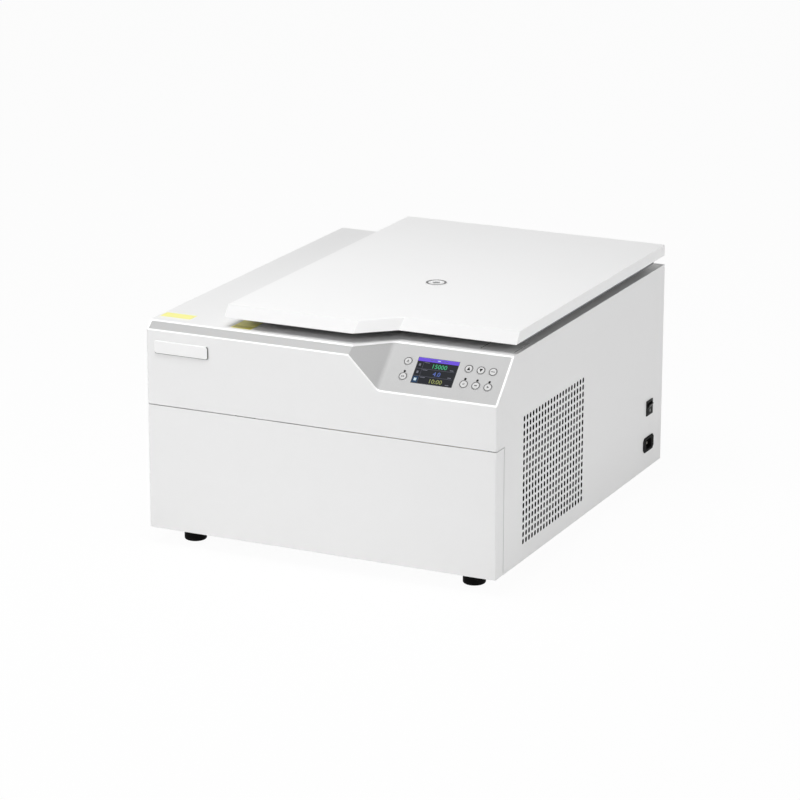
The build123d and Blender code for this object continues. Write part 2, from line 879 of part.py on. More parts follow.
def biarc(start, start_way, end, end_way):
    """Two arcs that leave the start and reach the end in the given directions."""
    chord = end - start
    ways = start_way + end_way
    spread = 2 * (1 - start_way.dot(end_way))
    along = chord.dot(ways)
    reach = (-along + math.sqrt(along * along + spread * chord.dot(chord))) / spread
    near = start + start_way * reach
    far = end - end_way * reach
    middle = (near + far) * 0.5
    return [TangentArc(start, middle, tangent=start_way), TangentArc(middle, end, tangent=(far - near).normalized())]


def make_evaporator_coil():
    """Copper tube wound round the bowl, with two straight ends towards the rear."""
    quarters = int(4 * (coil_turns + 0.5))
    ends = [flat_end(0)] + [coil_point(step / 4) for step in range(1, quarters)] + [flat_end(quarters / 4)]
    first, last = ends[0][0], ends[-1][0]
    tail = Vector(0, coil_tail, 0)
    edges = [Line(first + tail, first)]
    for (start, start_way), (end, end_way) in zip(ends, ends[1:]):
        edges += biarc(start, start_way, end, end_way)
    edges.append(Line(last, last + tail))
    path = Wire(edges)
    section = Plane(origin=first + tail, z_dir=(0, -1, 0)) * Circle(coil_tube_radius)
    print("coil: least gap between turns", round(coil_pitch - 2 * coil_tube_radius, 2), "mm")
    print("coil: tube length", round(path.length, 1), "mm, turns", coil_turns + 0.5)
    return sweep(section, path=path)


def make_motor():
    """Motor can with its neck up into the bowl and a bore for the spindle."""
    top = motor_top()
    neck = bowl_floor + motor_neck_above_floor
    body = post(*chamber, motor_plate_low() + motor_plate_thickness, top, motor_radius)
    body = fillet(body.edges().filter_by(GeomType.CIRCLE), 4)
    body += post(*chamber, top - 1, neck, motor_neck_radius)
    return body - post(*chamber, spindle_base(), neck + 1, spindle_radius + shaft_clearance)


def motor_plate_low():
    """Underside of the motor plate, on its dampers."""
    return floor_top + damper_height


def motor_top():
    """Top of the motor can."""
    return insulation_low - motor_gap


def spindle_base():
    """Bottom of the spindle inside the motor."""
    return motor_plate_low() + motor_plate_thickness + 12


def make_motor_plate():
    """Steel plate under the motor."""
    low = motor_plate_low()
    half = motor_plate_width / 2
    x, y = chamber
    return block(x - half, x + half, y - half, y + half, low, low + motor_plate_thickness)


def make_rubber_mounts():
    """Rubber blocks on the base: four under the motor plate and four under the compressor."""
    mounts = []
    for sx in (-1, 1):
        for sy in (-1, 1):
            x = chamber[0] + sx * damper_spacing / 2
            y = chamber[1] + sy * damper_spacing / 2
            mounts.append(post(x, y, floor_top, motor_plate_low(), damper_diameter / 2))
            x = compressor_x + sx * grommet_spacing / 2
            y = compressor_y + sy * grommet_spacing / 2
            mounts.append(post(x, y, floor_top, compressor_low(), grommet_diameter / 2))
    return Compound(mounts)


def rotor_low():
    """Underside of the rotor."""
    return bowl_floor + rotor_above_floor


def make_spindle():
    """Shaft from the motor up into the rotor."""
    top = rotor_low() + rotor_hub_height + nut_height / 2
    return post(*chamber, spindle_base() + 0.5, top, spindle_radius)


def make_boot():
    """Rubber boot that closes the bowl's floor round the motor's neck."""
    low = bowl_floor - bowl_wall - 4
    body = ring(chamber, motor_neck_radius, boot_hole_radius, low, bowl_floor)
    return body + ring(chamber, motor_neck_radius, boot_flange_radius, bowl_floor, bowl_floor + boot_flange_thickness)


def make_rotor():
    """Angle rotor turned from one billet, with six slanted pockets."""
    z = rotor_low()
    points = [(0, z), (60, z), (88, z + 4), (112, z + 17), (118, z + 24), (118, z + 38), (91, z + 85),
              (85, z + 86), (44, z + 62.3), (36, z + 60), (30, z + rotor_hub_height), (0, z + rotor_hub_height)]
    body = turned(points, *chamber)
    body -= post(*chamber, z - 1, z + rotor_hub_height + 1, spindle_radius)
    tilt = math.radians(pocket_tilt)
    mouth_z = z + 62.3 + (pocket_circle - 44) * math.tan(tilt)
    for index in range(pocket_count):
        turn = Pos(*chamber, 0) * Rot(0, 0, index * 360 / pocket_count)
        place = Pos(pocket_circle, 0, mouth_z) * Rot(0, -pocket_tilt, 0)
        bore = Pos(0, 0, -pocket_length / 2 + 10) * Cylinder(pocket_radius, pocket_length + 20)
        tip = Pos(0, 0, -pocket_length) * Sphere(pocket_radius)
        body -= turn * place * (bore + tip)
    return body


def make_rotor_nut():
    """Hand nut that holds the rotor on the spindle."""
    z = rotor_low() + rotor_hub_height
    body = post(*chamber, z, z + nut_height, nut_radius)
    body = fillet(body.edges().sort_by(Axis.Z)[-1], 2)
    for index in range(8):
        flute = Pos(*chamber, 0) * Rot(0, 0, index * 45) * post(nut_radius + 2, 0, z + 4, z + nut_height + 1, 4)
        body -= flute
    return body - post(*chamber, z - 1, z + nut_height / 2, spindle_radius)


def condenser_box():
    """The condenser's corners, behind the grille."""
    x1 = shroud_low_x + shroud_thickness + condenser_thickness
    half_y = grille_pitch * grille_columns / 2
    y = front + grille_first_y + (grille_columns - 1) * grille_pitch / 2
    return (x1 - condenser_thickness, x1, y - half_y - condenser_margin, y + half_y + condenser_margin,
            floor_top, base_z + grille_first_height + grille_rows * grille_row_pitch)


def make_condenser():
    """Fins between two end plates, on straight tubes."""
    x0, x1, y0, y1, z0, z1 = condenser_box()
    parts = [block(x0, x1, y0, y0 + condenser_plate, z0, z1), block(x0, x1, y1 - condenser_plate, y1, z0, z1)]
    count = int((y1 - y0) / fin_pitch)
    for index in range(1, count):
        y = y0 + index * (y1 - y0) / count
        parts.append(block(x0 + 2, x1 - 2, y - fin_thickness / 2, y + fin_thickness / 2, z0 + 2, z1 - 2))
    for row in range(condenser_tube_rows):
        z = z0 + (row + 0.5) * (z1 - z0) / condenser_tube_rows
        parts.append(rod_y((x0 + x1) / 2, y0, y1, z, condenser_tube_radius))
    return joined(parts)


def fan_centre():
    """Y and Z of the fan's axis."""
    x0, x1, y0, y1, z0, z1 = condenser_box()
    return (y0 + y1) / 2, base_z + fan_height


def make_fan_shroud():
    """Sheet shroud on the condenser with a round opening and arms for the fan motor."""
    x0, x1, y0, y1, z0, z1 = condenser_box()
    y, z = fan_centre()
    low = x0 - shroud_thickness
    body = block(low, x0, y0, y1, z0, z1)
    body -= block(low + shroud_wall, x0 + 1, y0 + shroud_wall, y1 - shroud_wall, z0 + shroud_wall, z1 - shroud_wall)
    body -= rod_x(low - 1, x0, y, z, fan_radius + fan_tip_gap)
    reach = fan_radius + fan_tip_gap + 6
    arm = fan_arm_width / 2
    back = low - fan_arm_thickness
    for index in range(3):
        spoke = block(back, low, -arm, arm, fan_motor_radius - 2, reach)
        body += Pos(0, y, z) * Rot(90 + index * 120, 0, 0) * spoke
    collar = rod_x(back, low, y, z, fan_motor_radius + 4)
    return body + collar - rod_x(back - 1, low + 1, y, z, fan_motor_radius)


def make_fan_motor():
    """Fan motor with its axle towards the condenser."""
    x0 = condenser_box()[0] - shroud_thickness
    y, z = fan_centre()
    can = rod_x(x0 - fan_motor_length, x0, y, z, fan_motor_radius)
    return can + rod_x(x0, x0 + fan_hub_length - 2, y, z, fan_axle_radius)


def make_fan():
    """Hub with tilted blades."""
    x0 = condenser_box()[0] - shroud_thickness + 0.4
    y, z = fan_centre()
    x1 = x0 + fan_hub_length
    parts = [Rot(0, 90, 0) * Cylinder(fan_hub_radius, fan_hub_length)]
    for index in range(fan_blades):
        length = fan_radius - fan_hub_radius + 6
        blade = Box(fan_blade_thickness, fan_blade_chord, length)
        blade = Rot(index * 360 / fan_blades, 0, 0) * Pos(0, 0, fan_hub_radius - 6 + length / 2) * Rot(
            0, 0, fan_blade_tilt) * blade
        parts.append(blade)
    body = joined(parts) & Rot(0, 90, 0) * Cylinder(fan_radius, fan_hub_length)
    body = Pos((x0 + x1) / 2, y, z) * body
    return body - rod_x(x0 - 1, x1 - 1, y, z, fan_axle_radius + shaft_clearance)


def compressor_low():
    """Underside of the compressor's foot plate."""
    return floor_top + grommet_height


def make_compressor():
    """Round-shouldered can on a foot plate, with a suction stub on top and a discharge stub at the side."""
    z = compressor_low()
    x, y = compressor_x, compressor_y
    half = compressor_foot / 2
    plate = block(x - half, x + half, y - half, y + half, z, z + compressor_foot_thickness)
    can = post(x, y, z + compressor_foot_thickness, z + compressor_height, compressor_radius)
    can = fillet(can.edges().filter_by(GeomType.CIRCLE).sort_by(Axis.Z)[-1], compressor_radius * 0.55)
    top_x = chamber[0] + coil_radius
    suction = post(top_x, suction_y, z + compressor_height - 60, suction_stub_top(), stub_radius)
    discharge = rod_x(x, discharge_end(), y, base_z + discharge_height, stub_radius)
    return joined([plate, can, suction, discharge])


def suction_stub_top():
    """Height of the suction stub's end."""
    return compressor_low() + compressor_height + stub_length


def discharge_end():
    """X of the discharge stub's end."""
    return compressor_x + compressor_radius + stub_length


def pipe(points):
    """A copper pipe along straight runs with bends of one radius."""
    path = FilletPolyline(*points, radius=pipe_bend) if len(points) > 2 else Line(*points)
    way = (Vector(*points[1]) - Vector(*points[0])).normalized()
    section = Plane(origin=points[0], z_dir=way) * Circle(pipe_radius)
    return sweep(section, path=path)


def drier_place():
    """X, Y and Z of the middle of the filter drier."""
    x0, x1, y0, y1, z0, z1 = condenser_box()
    return (x0 + x1) / 2, (y1 + pipe_lane_y) / 2 - pipe_bend / 2, base_z + liquid_height


def make_filter_drier():
    """Copper drum with coned ends in the liquid line."""
    x, y, z = drier_place()
    half = drier_length / 2
    profile = [(0, -half), (pipe_radius, -half), (drier_radius, drier_cone - half),
               (drier_radius, half - drier_cone), (pipe_radius, half), (0, half)]
    body = revolve(Plane.XZ * Polygon(*profile, align=None), Axis.Z)
    return Pos(x, y, z) * Rot(90, 0, 0) * body


def make_pipes():
    """Discharge, liquid and suction pipes, each a separate solid."""
    x, y, z = drier_place()
    rear_y = condenser_box()[3]
    half = drier_length / 2
    cold_x = chamber[0] - coil_radius
    warm_x = chamber[0] + coil_radius
    tail_y = chamber[1] + coil_tail
    discharge_z = base_z + discharge_height
    discharge = pipe([(discharge_end(), compressor_y, discharge_z), (x, compressor_y, discharge_z),
                      (x, rear_y, discharge_z)])
    warm = pipe([(x, rear_y, z), (x, y - half, z)])
    liquid = pipe([(x, y + half, z), (x, pipe_lane_y, z), (cold_x, pipe_lane_y, z),
                   (cold_x, pipe_lane_y, coil_start_z), (cold_x, tail_y, coil_start_z)])
    suction = pipe([(warm_x, tail_y, coil_end_z), (warm_x, suction_y, coil_end_z),
                    (warm_x, suction_y, suction_stub_top())])
    return Compound([discharge, warm, liquid, suction])


def make_rocker_frame():
    """Switch body with its rim on the side wall."""
    y, z = cutouts()[0][:2]
    half_y = rocker_width / 2
    half_z = rocker_tall / 2
    edge = rocker_rim / 2
    body = block(right, right + rocker_proud, y - half_y, y + half_y, z - half_z, z + half_z)
    body += block(right - rocker_body_depth, right, y - half_y + edge, y + half_y - edge,
                  z - half_z + edge, z + half_z - edge)
    well = block(right - rocker_body_depth + 3, right + rocker_proud + 1, y - half_y + rocker_rim,
                 y + half_y - rocker_rim, z - half_z + rocker_rim, z + half_z - rocker_rim)
    pin_x = right - rocker_pivot_depth
    return body - well + rod_y(pin_x, y - half_y + rocker_rim - 1, y + half_y - rocker_rim + 1, z, rocker_pin_radius)


def make_rocker():
    """Rocker that turns on its pin, shown switched off."""
    y, z = cutouts()[0][:2]
    half_y = rocker_width / 2 - rocker_rim - rocker_gap
    half_z = rocker_tall / 2 - rocker_rim - rocker_swing_room
    pin_x = right - rocker_pivot_depth
    face = rocker_pivot_depth + rocker_proud + rocker_face_proud
    points = [(-4, -half_z * 0.5), (-4, half_z * 0.5), (2, half_z), (face, half_z), (face - rocker_hollow, 0), (face, -half_z),
              (2, -half_z)]
    plane = Plane(origin=(pin_x, y, z), x_dir=(1, 0, 0), z_dir=(0, -1, 0))
    body = extrude(plane * Polygon(*points, align=None), half_y, both=True)
    body = Pos(pin_x, y, z) * Rot(0, rocker_tilt, 0) * Pos(-pin_x, -y, -z) * body
    return body - rod_y(pin_x, y - half_y - 1, y + half_y + 1, z, rocker_pin_radius + shaft_clearance)


def make_power_inlet():
    """Black inlet with a chamfered flange and a socket for a mains connector."""
    y, z = cutouts()[1][:2]
    edge = inlet_chamfer / 2
    flange = block(right, right + inlet_proud, y - inlet_width / 2, y + inlet_width / 2,
                   z - inlet_tall / 2, z + inlet_tall / 2)
    flange = chamfer(flange.edges().filter_by(Axis.X), inlet_chamfer)
    body = block(right - inlet_body_depth, right, y - inlet_width / 2 + edge, y + inlet_width / 2 - edge,
                 z - inlet_tall / 2 + edge, z + inlet_tall / 2 - edge)
    face_x = right + inlet_proud
    socket = block(face_x - socket_depth, face_x + 1, y - socket_width / 2, y + socket_width / 2,
                   z - socket_tall / 2, z + socket_tall / 2)
    socket = chamfer(socket.edges().filter_by(Axis.X).sort_by(Axis.Z)[2:], socket_chamfer)
    return flange + body - socket


def make_inlet_prongs():
    """Three flat metal prongs in the socket."""
    y, z = cutouts()[1][:2]
    x0 = right + inlet_proud - socket_depth
    prongs = []
    for dy, dz in ((-prong_spacing / 2, -2.0), (0.0, 2.0), (prong_spacing / 2, -2.0)):
        prongs.append(block(x0, x0 + prong_length, y + dy - prong_thickness / 2, y + dy + prong_thickness / 2,
                            z + dz - prong_width / 2, z + dz + prong_width / 2))
    return Compound(prongs)


def make_drive_box():
    """Case of the motor's power stage, on the base."""
    half_x = drive_box_width / 2
    half_y = drive_box_length / 2
    return block(drive_box_x - half_x, drive_box_x + half_x, drive_box_y - half_y, drive_box_y + half_y,
                 floor_top, floor_top + drive_box_height)


def make_heat_sink():
    """Finned aluminium block on the power stage."""
    half_x = drive_box_width / 2
    half_y = drive_box_length / 2
    low = floor_top + drive_box_height
    parts = [block(drive_box_x - half_x, drive_box_x + half_x, drive_box_y - half_y, drive_box_y + half_y,
                   low, low + sink_base)]
    for index in range(sink_fins):
        x = drive_box_x - half_x + index * (drive_box_width - sink_fin_thickness) / (sink_fins - 1)
        parts.append(block(x, x + sink_fin_thickness, drive_box_y - half_y, drive_box_y + half_y,
                           low + sink_base, low + sink_height))
    return joined(parts)


def make_main_board():
    """Control board on posts from the left wall."""
    x0 = left + panel_wall
    x1 = x0 + main_board_standoff
    low = base_z + main_board_base
    half = main_board_length / 2
    parts = [block(x1, x1 + board_thickness, main_board_y - half, main_board_y + half, low, low + main_board_height)]
    for y in (main_board_y - half + 8, main_board_y + half - 8):
        for z in (low + 8, low + main_board_height - 8):
            parts.append(rod_x(x0, x1, y, z, post_diameter / 2))
    for index, (length, height, tall) in enumerate([(50, 60, 24), (30, 30, 12), (44, 44, 30), (24, 70, 18)]):
        y = main_board_y - half + 30 + index * 55
        parts.append(block(x1 + board_thickness, x1 + board_thickness + tall, y - length / 2, y + length / 2,
                           low + 70 - height / 2, low + 70 + height / 2))
    return joined(parts)


nodes = {
    "base_pan": make_base_pan(),
    "feet": make_feet(),
    "lower_front_panel": make_lower_front_panel(),
    "top_housing": make_top_housing(),
    "left_side_panel": make_side_panel(-1),
    "right_side_panel": make_right_side_panel(),
    "rear_panel": make_rear_panel(),
    "rear_panel_screws": make_rear_screws(),
    "control_band": make_control_band(),
    "badge_plate": make_badge_plate(),
    "release_cover": release_block(release_gap),
    "screen_module": make_screen_module(),
    "key_board": make_key_board(),
    "indicator_lamps": make_lamps(),
    "lid_shell": make_lid_shell(),
    "lid_foam": make_lid_foam(),
    "lid_liner": make_lid_liner(),
    "lid_seal": make_lid_seal(),
    "sight_glass_ring": make_sight_ring(),
    "sight_glass": make_sight_glass(),
    "lid_strikers": make_lid_strikers(),
    "latch_shaft": make_latch_shaft(),
    "latch_hooks": make_latch_hooks(),
    "latch_brackets": make_latch_brackets(),
    "latch_gear_motor": make_latch_gear_motor(),
    "hinge_brackets": make_hinge_brackets(),
    "hinge_leaves": make_hinge_leaves(),
    "hinge_pins": make_hinge_pins(),
    "chamber_bowl": make_bowl(),
    "bowl_insulation": make_insulation(),
    "evaporator_coil": make_evaporator_coil(),
    "neck_boot": make_boot(),
    "drive_motor": make_motor(),
    "motor_plate": make_motor_plate(),
    "rubber_mounts": make_rubber_mounts(),
    "drive_spindle": make_spindle(),
    "rotor": make_rotor(),
    "rotor_nut": make_rotor_nut(),
    "condenser": make_condenser(),
    "fan_shroud": make_fan_shroud(),
    "fan_motor": make_fan_motor(),
    "condenser_fan": make_fan(),
    "compressor": make_compressor(),
    "filter_drier": make_filter_drier(),
    "refrigerant_pipes": make_pipes(),
    "rocker_frame": make_rocker_frame(),
    "power_rocker": make_rocker(),
    "power_inlet": make_power_inlet(),
    "inlet_prongs": make_inlet_prongs(),
    "motor_drive_box": make_drive_box(),
    "drive_heat_sink": make_heat_sink(),
    "main_board": make_main_board(),
}
for key_name, key_side, key_up in key_places():
    nodes[key_name] = make_key(key_side, key_up)

os.makedirs("parts", exist_ok=True)
for node_name, shape in nodes.items():
    export_step(shape, f"parts/{node_name}.step")
print(len(nodes), "nodes written")
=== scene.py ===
import json
import math

import bmesh
import bpy
from mathutils import Matrix, Vector

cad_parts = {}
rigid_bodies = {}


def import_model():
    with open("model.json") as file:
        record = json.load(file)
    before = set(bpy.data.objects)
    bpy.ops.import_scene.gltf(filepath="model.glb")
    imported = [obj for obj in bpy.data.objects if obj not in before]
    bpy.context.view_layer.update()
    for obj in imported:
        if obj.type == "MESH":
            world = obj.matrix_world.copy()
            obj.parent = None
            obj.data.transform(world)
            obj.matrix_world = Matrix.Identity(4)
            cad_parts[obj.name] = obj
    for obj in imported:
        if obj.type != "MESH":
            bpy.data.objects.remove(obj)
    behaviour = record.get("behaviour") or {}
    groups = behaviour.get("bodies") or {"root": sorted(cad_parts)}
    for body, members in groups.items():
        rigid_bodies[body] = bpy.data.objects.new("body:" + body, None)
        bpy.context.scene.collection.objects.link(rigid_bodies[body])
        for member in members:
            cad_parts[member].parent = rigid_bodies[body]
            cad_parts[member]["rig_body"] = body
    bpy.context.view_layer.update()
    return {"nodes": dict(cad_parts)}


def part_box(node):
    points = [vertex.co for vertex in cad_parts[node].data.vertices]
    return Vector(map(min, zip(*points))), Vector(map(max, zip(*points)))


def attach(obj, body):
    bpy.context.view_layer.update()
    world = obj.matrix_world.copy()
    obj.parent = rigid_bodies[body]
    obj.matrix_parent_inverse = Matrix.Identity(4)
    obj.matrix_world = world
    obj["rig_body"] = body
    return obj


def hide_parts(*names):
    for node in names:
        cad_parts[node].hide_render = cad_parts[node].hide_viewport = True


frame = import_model()
nodes = frame["nodes"]


# The bench paper, one wide flat sheet under the cabinet that reaches far behind it, and the
# soft lamps. The floor is drawn white to the camera and in reflections, and keeps a part of the
# shadow that the cabinet throws.
class Value:
    """A number or colour inside a finish; sums with it add their Math nodes."""

    def __init__(self, finish, socket):
        self.finish = finish
        self.socket = socket

    def calculate(self, operation, first, second=0.0):
        return self.finish.node("ShaderNodeMath", {"operation": operation}, {0: first, 1: second})

    def __add__(self, other):
        return self.calculate("ADD", self, other)

    def __radd__(self, other):
        return self.calculate("ADD", other, self)

    def __sub__(self, other):
        return self.calculate("SUBTRACT", self, other)

    def __rsub__(self, other):
        return self.calculate("SUBTRACT", other, self)

    def __mul__(self, other):
        return self.calculate("MULTIPLY", self, other)

    def __rmul__(self, other):
        return self.calculate("MULTIPLY", other, self)

    def __pow__(self, other):
        return self.calculate("POWER", self, other)

    def __gt__(self, other):
        return self.calculate("GREATER_THAN", self, other)

    def within(self, low, high):
        """0 at low, 1 at high, and held at both ends."""
        return self.finish.node("ShaderNodeMapRange", None, {0: self, 1: low, 2: high, 3: 0.0, 4: 1.0})


class Finish:
    """A surface finish: a material and the nodes that make it vary."""

    def __init__(self, name, tree=None, **plain):
        self.material = None
        if tree is None:
            self.material = bpy.data.materials.new(name)
            self.material.use_nodes = True
            tree = self.material.node_tree
        self.tree = tree
        self.shader = tree.nodes.get("Principled BSDF")
        for socket, value in plain.items():
            self.shader.inputs[socket.replace("_", " ")].default_value = value

    def node(self, kind, settings=None, values=None, out=0):
        """A node of that type, its settings first and then the values or links of its sockets."""
        made = self.tree.nodes.new(kind)
        for name, value in (settings or {}).items():
            if name == "stops":
                for place, shade in value[2:]:
                    made.color_ramp.elements.new(place)
                for stop, (place, shade) in zip(made.color_ramp.elements, value):
                    stop.position = place
                    stop.color = (*shade, 1.0)
            else:
                setattr(made, name, value)
        for slot, value in (values or {}).items():
            if isinstance(value, Value):
                self.tree.links.new(value.socket, made.inputs[slot])
            else:
                made.inputs[slot].default_value = value
        return Value(self, made.outputs[out])

    def feed(self, socket, value):
        """A value that changes over the surface goes to that socket of the shader."""
        self.tree.links.new(value.socket, self.shader.inputs[socket])

    def place(self):
        return self.node("ShaderNodeTexCoord", out="Object")

    def axes(self):
        """X, Y and Z of the point, in metres."""
        split = self.tree.nodes.new("ShaderNodeSeparateXYZ")
        self.tree.links.new(self.place().socket, split.inputs[0])
        return [Value(self, split.outputs[i]) for i in range(3)]

    def noise(self, scale, detail=2.0, at=None):
        """Cloudy noise, so many waves to the metre."""
        return self.node("ShaderNodeTexNoise", None,
                         {"Vector": at or self.place(), "Scale": scale, "Detail": detail})

    def stretched(self, x, y, z, scale=1.0, detail=2.0):
        """Noise whose grain is stretched: each axis is multiplied first."""
        spread = self.node("ShaderNodeMapping", None, {"Vector": self.place(), "Scale": (x, y, z)})
        return self.noise(scale, detail, spread)

    def blend(self, share, first, second):
        """A colour between two colours."""
        colours = {0: share, 6: first, 7: second}
        for slot in (6, 7):
            if not isinstance(colours[slot], Value):
                colours[slot] = (*colours[slot], 1.0)
        return self.node("ShaderNodeMix", {"data_type": "RGBA"}, colours, out=2)

    def bump(self, height, strength, distance):
        """A fine relief in the surface."""
        relief = self.node("ShaderNodeBump", None,
                           {"Height": height, "Strength": strength, "Distance": distance})
        self.feed("Normal", relief)


def linear(red, green=None, blue=None):
    """A colour of the screen, 0 to 255, as the renderer counts it."""
    parts = [red, red if green is None else green, red if blue is None else blue]
    return tuple((tone / 255 / 12.92) if tone <= 10 else ((tone / 255 + 0.055) / 1.055) ** 2.4
                 for tone in parts)


def seen_directly(finish):
    """1 for what the camera sees straight, in a reflection or through glass."""
    rays = [finish.node("ShaderNodeLightPath", out=ray) for ray in
            ("Is Camera Ray", "Is Glossy Ray", "Is Transmission Ray")]
    return (rays[0] + rays[1] + rays[2]) > 0.5


floor_reach = 20.0
floor_white = 0.95
floor_own_light = 0.96
room_light = 0.24
paper = bmesh.new()
bmesh.ops.create_grid(paper, x_segments=1, y_segments=1, size=floor_reach)
floor_mesh = bpy.data.meshes.new("bench_paper")
paper.to_mesh(floor_mesh)
paper.free()
floor = bpy.data.objects.new("bench_paper", floor_mesh)
bpy.context.scene.collection.objects.link(floor)
white_paper = Finish("white_paper", Base_Color=(floor_white,) * 3 + (1.0,), Roughness=0.9,
                     Specular_IOR_Level=0.0)
glow = white_paper.node("ShaderNodeEmission", None, {0: (1.0, 1.0, 1.0, 1.0), 1: 1.0})
share = white_paper.node("ShaderNodeMixShader", None,
                         {0: seen_directly(white_paper) * floor_own_light,
                          1: Value(white_paper, white_paper.shader.outputs[0]), 2: glow})
white_paper.tree.links.new(share.socket, white_paper.tree.nodes["Material Output"].inputs[0])
floor_mesh.materials.append(white_paper.material)

bpy.context.scene.view_settings.view_transform = "Standard"

room = bpy.data.worlds.new("room")
room.use_nodes = True
bpy.context.scene.world = room
air = Finish("air", tree=room.node_tree)
brightness = air.blend(seen_directly(air), (room_light,) * 3, (1.0,) * 3)
room.node_tree.links.new(brightness.socket, room.node_tree.nodes["Background"].inputs[0])

lamp_aim = Vector((0.0, 0.0, 0.25))
for lamp_name, spot, wide, tall, energy in (("front_softbox", (-0.8, -3.0, 0.6), 2.4, 0.8, 26.0),
                                            ("right_softbox", (3.4, 0.1, 0.6), 2.4, 0.8, 33.0),
                                            ("top_softbox", (-0.2, -0.7, 2.2), 1.4, 1.0, 29.5)):
    lamp = bpy.data.lights.new(lamp_name, "AREA")
    lamp.shape = "RECTANGLE"
    lamp.size = wide
    lamp.size_y = tall
    lamp.energy = energy
    softbox = bpy.data.objects.new(lamp_name, lamp)
    softbox.location = spot
    softbox.rotation_euler = (lamp_aim - softbox.location).to_track_quat("-Z", "Y").to_euler()
    bpy.context.scene.collection.objects.link(softbox)

camera_azimuth = math.radians(25.3527)
camera_elevation = math.radians(16.4453)
camera_roll = math.radians(0.0978)
lens = bpy.data.cameras.new("camera")
lens.lens = 152.0
lens.sensor_width = 36.0
camera = bpy.data.objects.new("camera", lens)
camera.location = (2.2422, -4.7837, 1.7416)
back = Vector((math.sin(camera_azimuth) * math.cos(camera_elevation),
               -math.cos(camera_azimuth) * math.cos(camera_elevation), math.sin(camera_elevation)))
aim = (-back).to_track_quat("-Z", "Y").to_matrix() @ Matrix.Rotation(camera_roll, 3, "Z")
camera.rotation_euler = aim.to_euler()
bpy.context.scene.collection.objects.link(camera)
bpy.context.scene.camera = camera


# Cabinet sheets: pressed steel with a fine white powder coat, screwed over a base pan. The coat
# has a faint orange peel, and it grows darker and rougher towards the bench. The housing's low
# rims take a brighter copy of the coat as painted highlight, and the base pan a darker copy as
# painted shade. The slots of the right-hand sheet have drawn mouths, and their walls and the
# sheet's inner face are painted black as painted shade.
def powder_coat(name, tone, roughness):
    """White baked powder paint, its tone on the screen's scale of 0 to 255."""
    paint = Finish(name)
    height = paint.axes()[2]
    cloud = paint.noise(3.0, 3.0)
    # Darker and rougher over the lowest few centimetres, towards the bench.
    near_bench = 1.0 - height.within(low=0.02, high=0.12)
    fresh = paint.blend(cloud, linear(tone - 2), linear(tone + 1))
    paint.feed("Base Color", paint.blend(near_bench * 0.10, fresh, linear(tone - 34, tone - 36, tone - 39)))
    paint.feed("Roughness", roughness + 0.08 * paint.noise(14.0, 4.0) + 0.06 * near_bench)
    paint.bump(paint.noise(620.0, 2.0), strength=0.05, distance=0.0002)
    return paint


def dress(node, finish):
    """A CAD solid that keeps its shape takes this finish."""
    slots = nodes[node].data.materials
    slots.clear()
    slots.append(finish.material)


def to_piece(name, form, finishes, body):
    """A finished mesh becomes a piece that rides on a body."""
    mesh = bpy.data.meshes.new(name)
    form.to_mesh(mesh)
    form.free()
    for finish in finishes:
        mesh.materials.append(finish.material)
    piece = bpy.data.objects.new(name, mesh)
    bpy.context.scene.collection.objects.link(piece)
    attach(piece, body)
    return piece


def even_shading(piece):
    """Shading that keeps flat faces flat and rounded edges round."""
    for face in piece.data.polygons:
        face.use_smooth = True
    weigh = piece.modifiers.new("even_shading", "WEIGHTED_NORMAL")
    weigh.mode = "FACE_AREA"
    weigh.weight = 60
    weigh.keep_sharp = True


weld = 1e-6
flat_angle = math.radians(0.4)
crisp_angle = math.radians(28.0)


def eased(node, name, finish, width, steps=2):
    """The node's own form with its edges rounded as press, mould or file leaves them."""
    source = nodes[node]
    form = bmesh.new()
    form.from_mesh(source.data)
    bmesh.ops.remove_doubles(form, verts=form.verts, dist=weld)
    bmesh.ops.dissolve_limit(form, angle_limit=flat_angle, verts=form.verts, edges=form.edges)
    crisp = [edge for edge in form.edges
             if len(edge.link_faces) == 2 and edge.calc_face_angle(0.0) > crisp_angle]
    bmesh.ops.bevel(form, geom=crisp, affect="EDGES", offset=width, offset_type="OFFSET",
                    segments=steps, profile=0.5, material=-1, clamp_overlap=True)
    for face in form.faces:
        face.material_index = 0
    piece = to_piece(name, form, [finish], source["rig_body"])
    even_shading(piece)
    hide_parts(node)
    return piece


def second_coat(piece, finish, chosen):
    """The faces that the test chooses take another finish."""
    piece.data.materials.append(finish.material)
    for face in piece.data.polygons:
        if chosen(face):
            face.material_index = 1


def moulded(name, tone, roughness, grain=900.0, relief=0.10, gloss=0.5):
    """Moulded plastic with a fine spark-eroded grain."""
    plastic = Finish(name, Specular_IOR_Level=gloss)
    cloud = plastic.noise(30.0, 3.0)
    low = tuple(part * 0.93 for part in tone)
    plastic.feed("Base Color", plastic.blend(cloud, low, tone))
    plastic.feed("Roughness", roughness + 0.10 * (plastic.noise(120.0, 3.0) - 0.5))
    plastic.bump(plastic.noise(grain, 2.0), strength=relief, distance=0.0002)
    return plastic


white_paint = powder_coat("white_powder_coat", tone=237, roughness=0.40)
# A darker copy of the coat for the base pan under the cabinet, as painted shade.
base_pan_painted_shade = powder_coat("white_powder_coat_painted_shade", tone=225, roughness=0.55)
housing = eased("top_housing", "front_and_deck_housing", white_paint, width=0.0004)
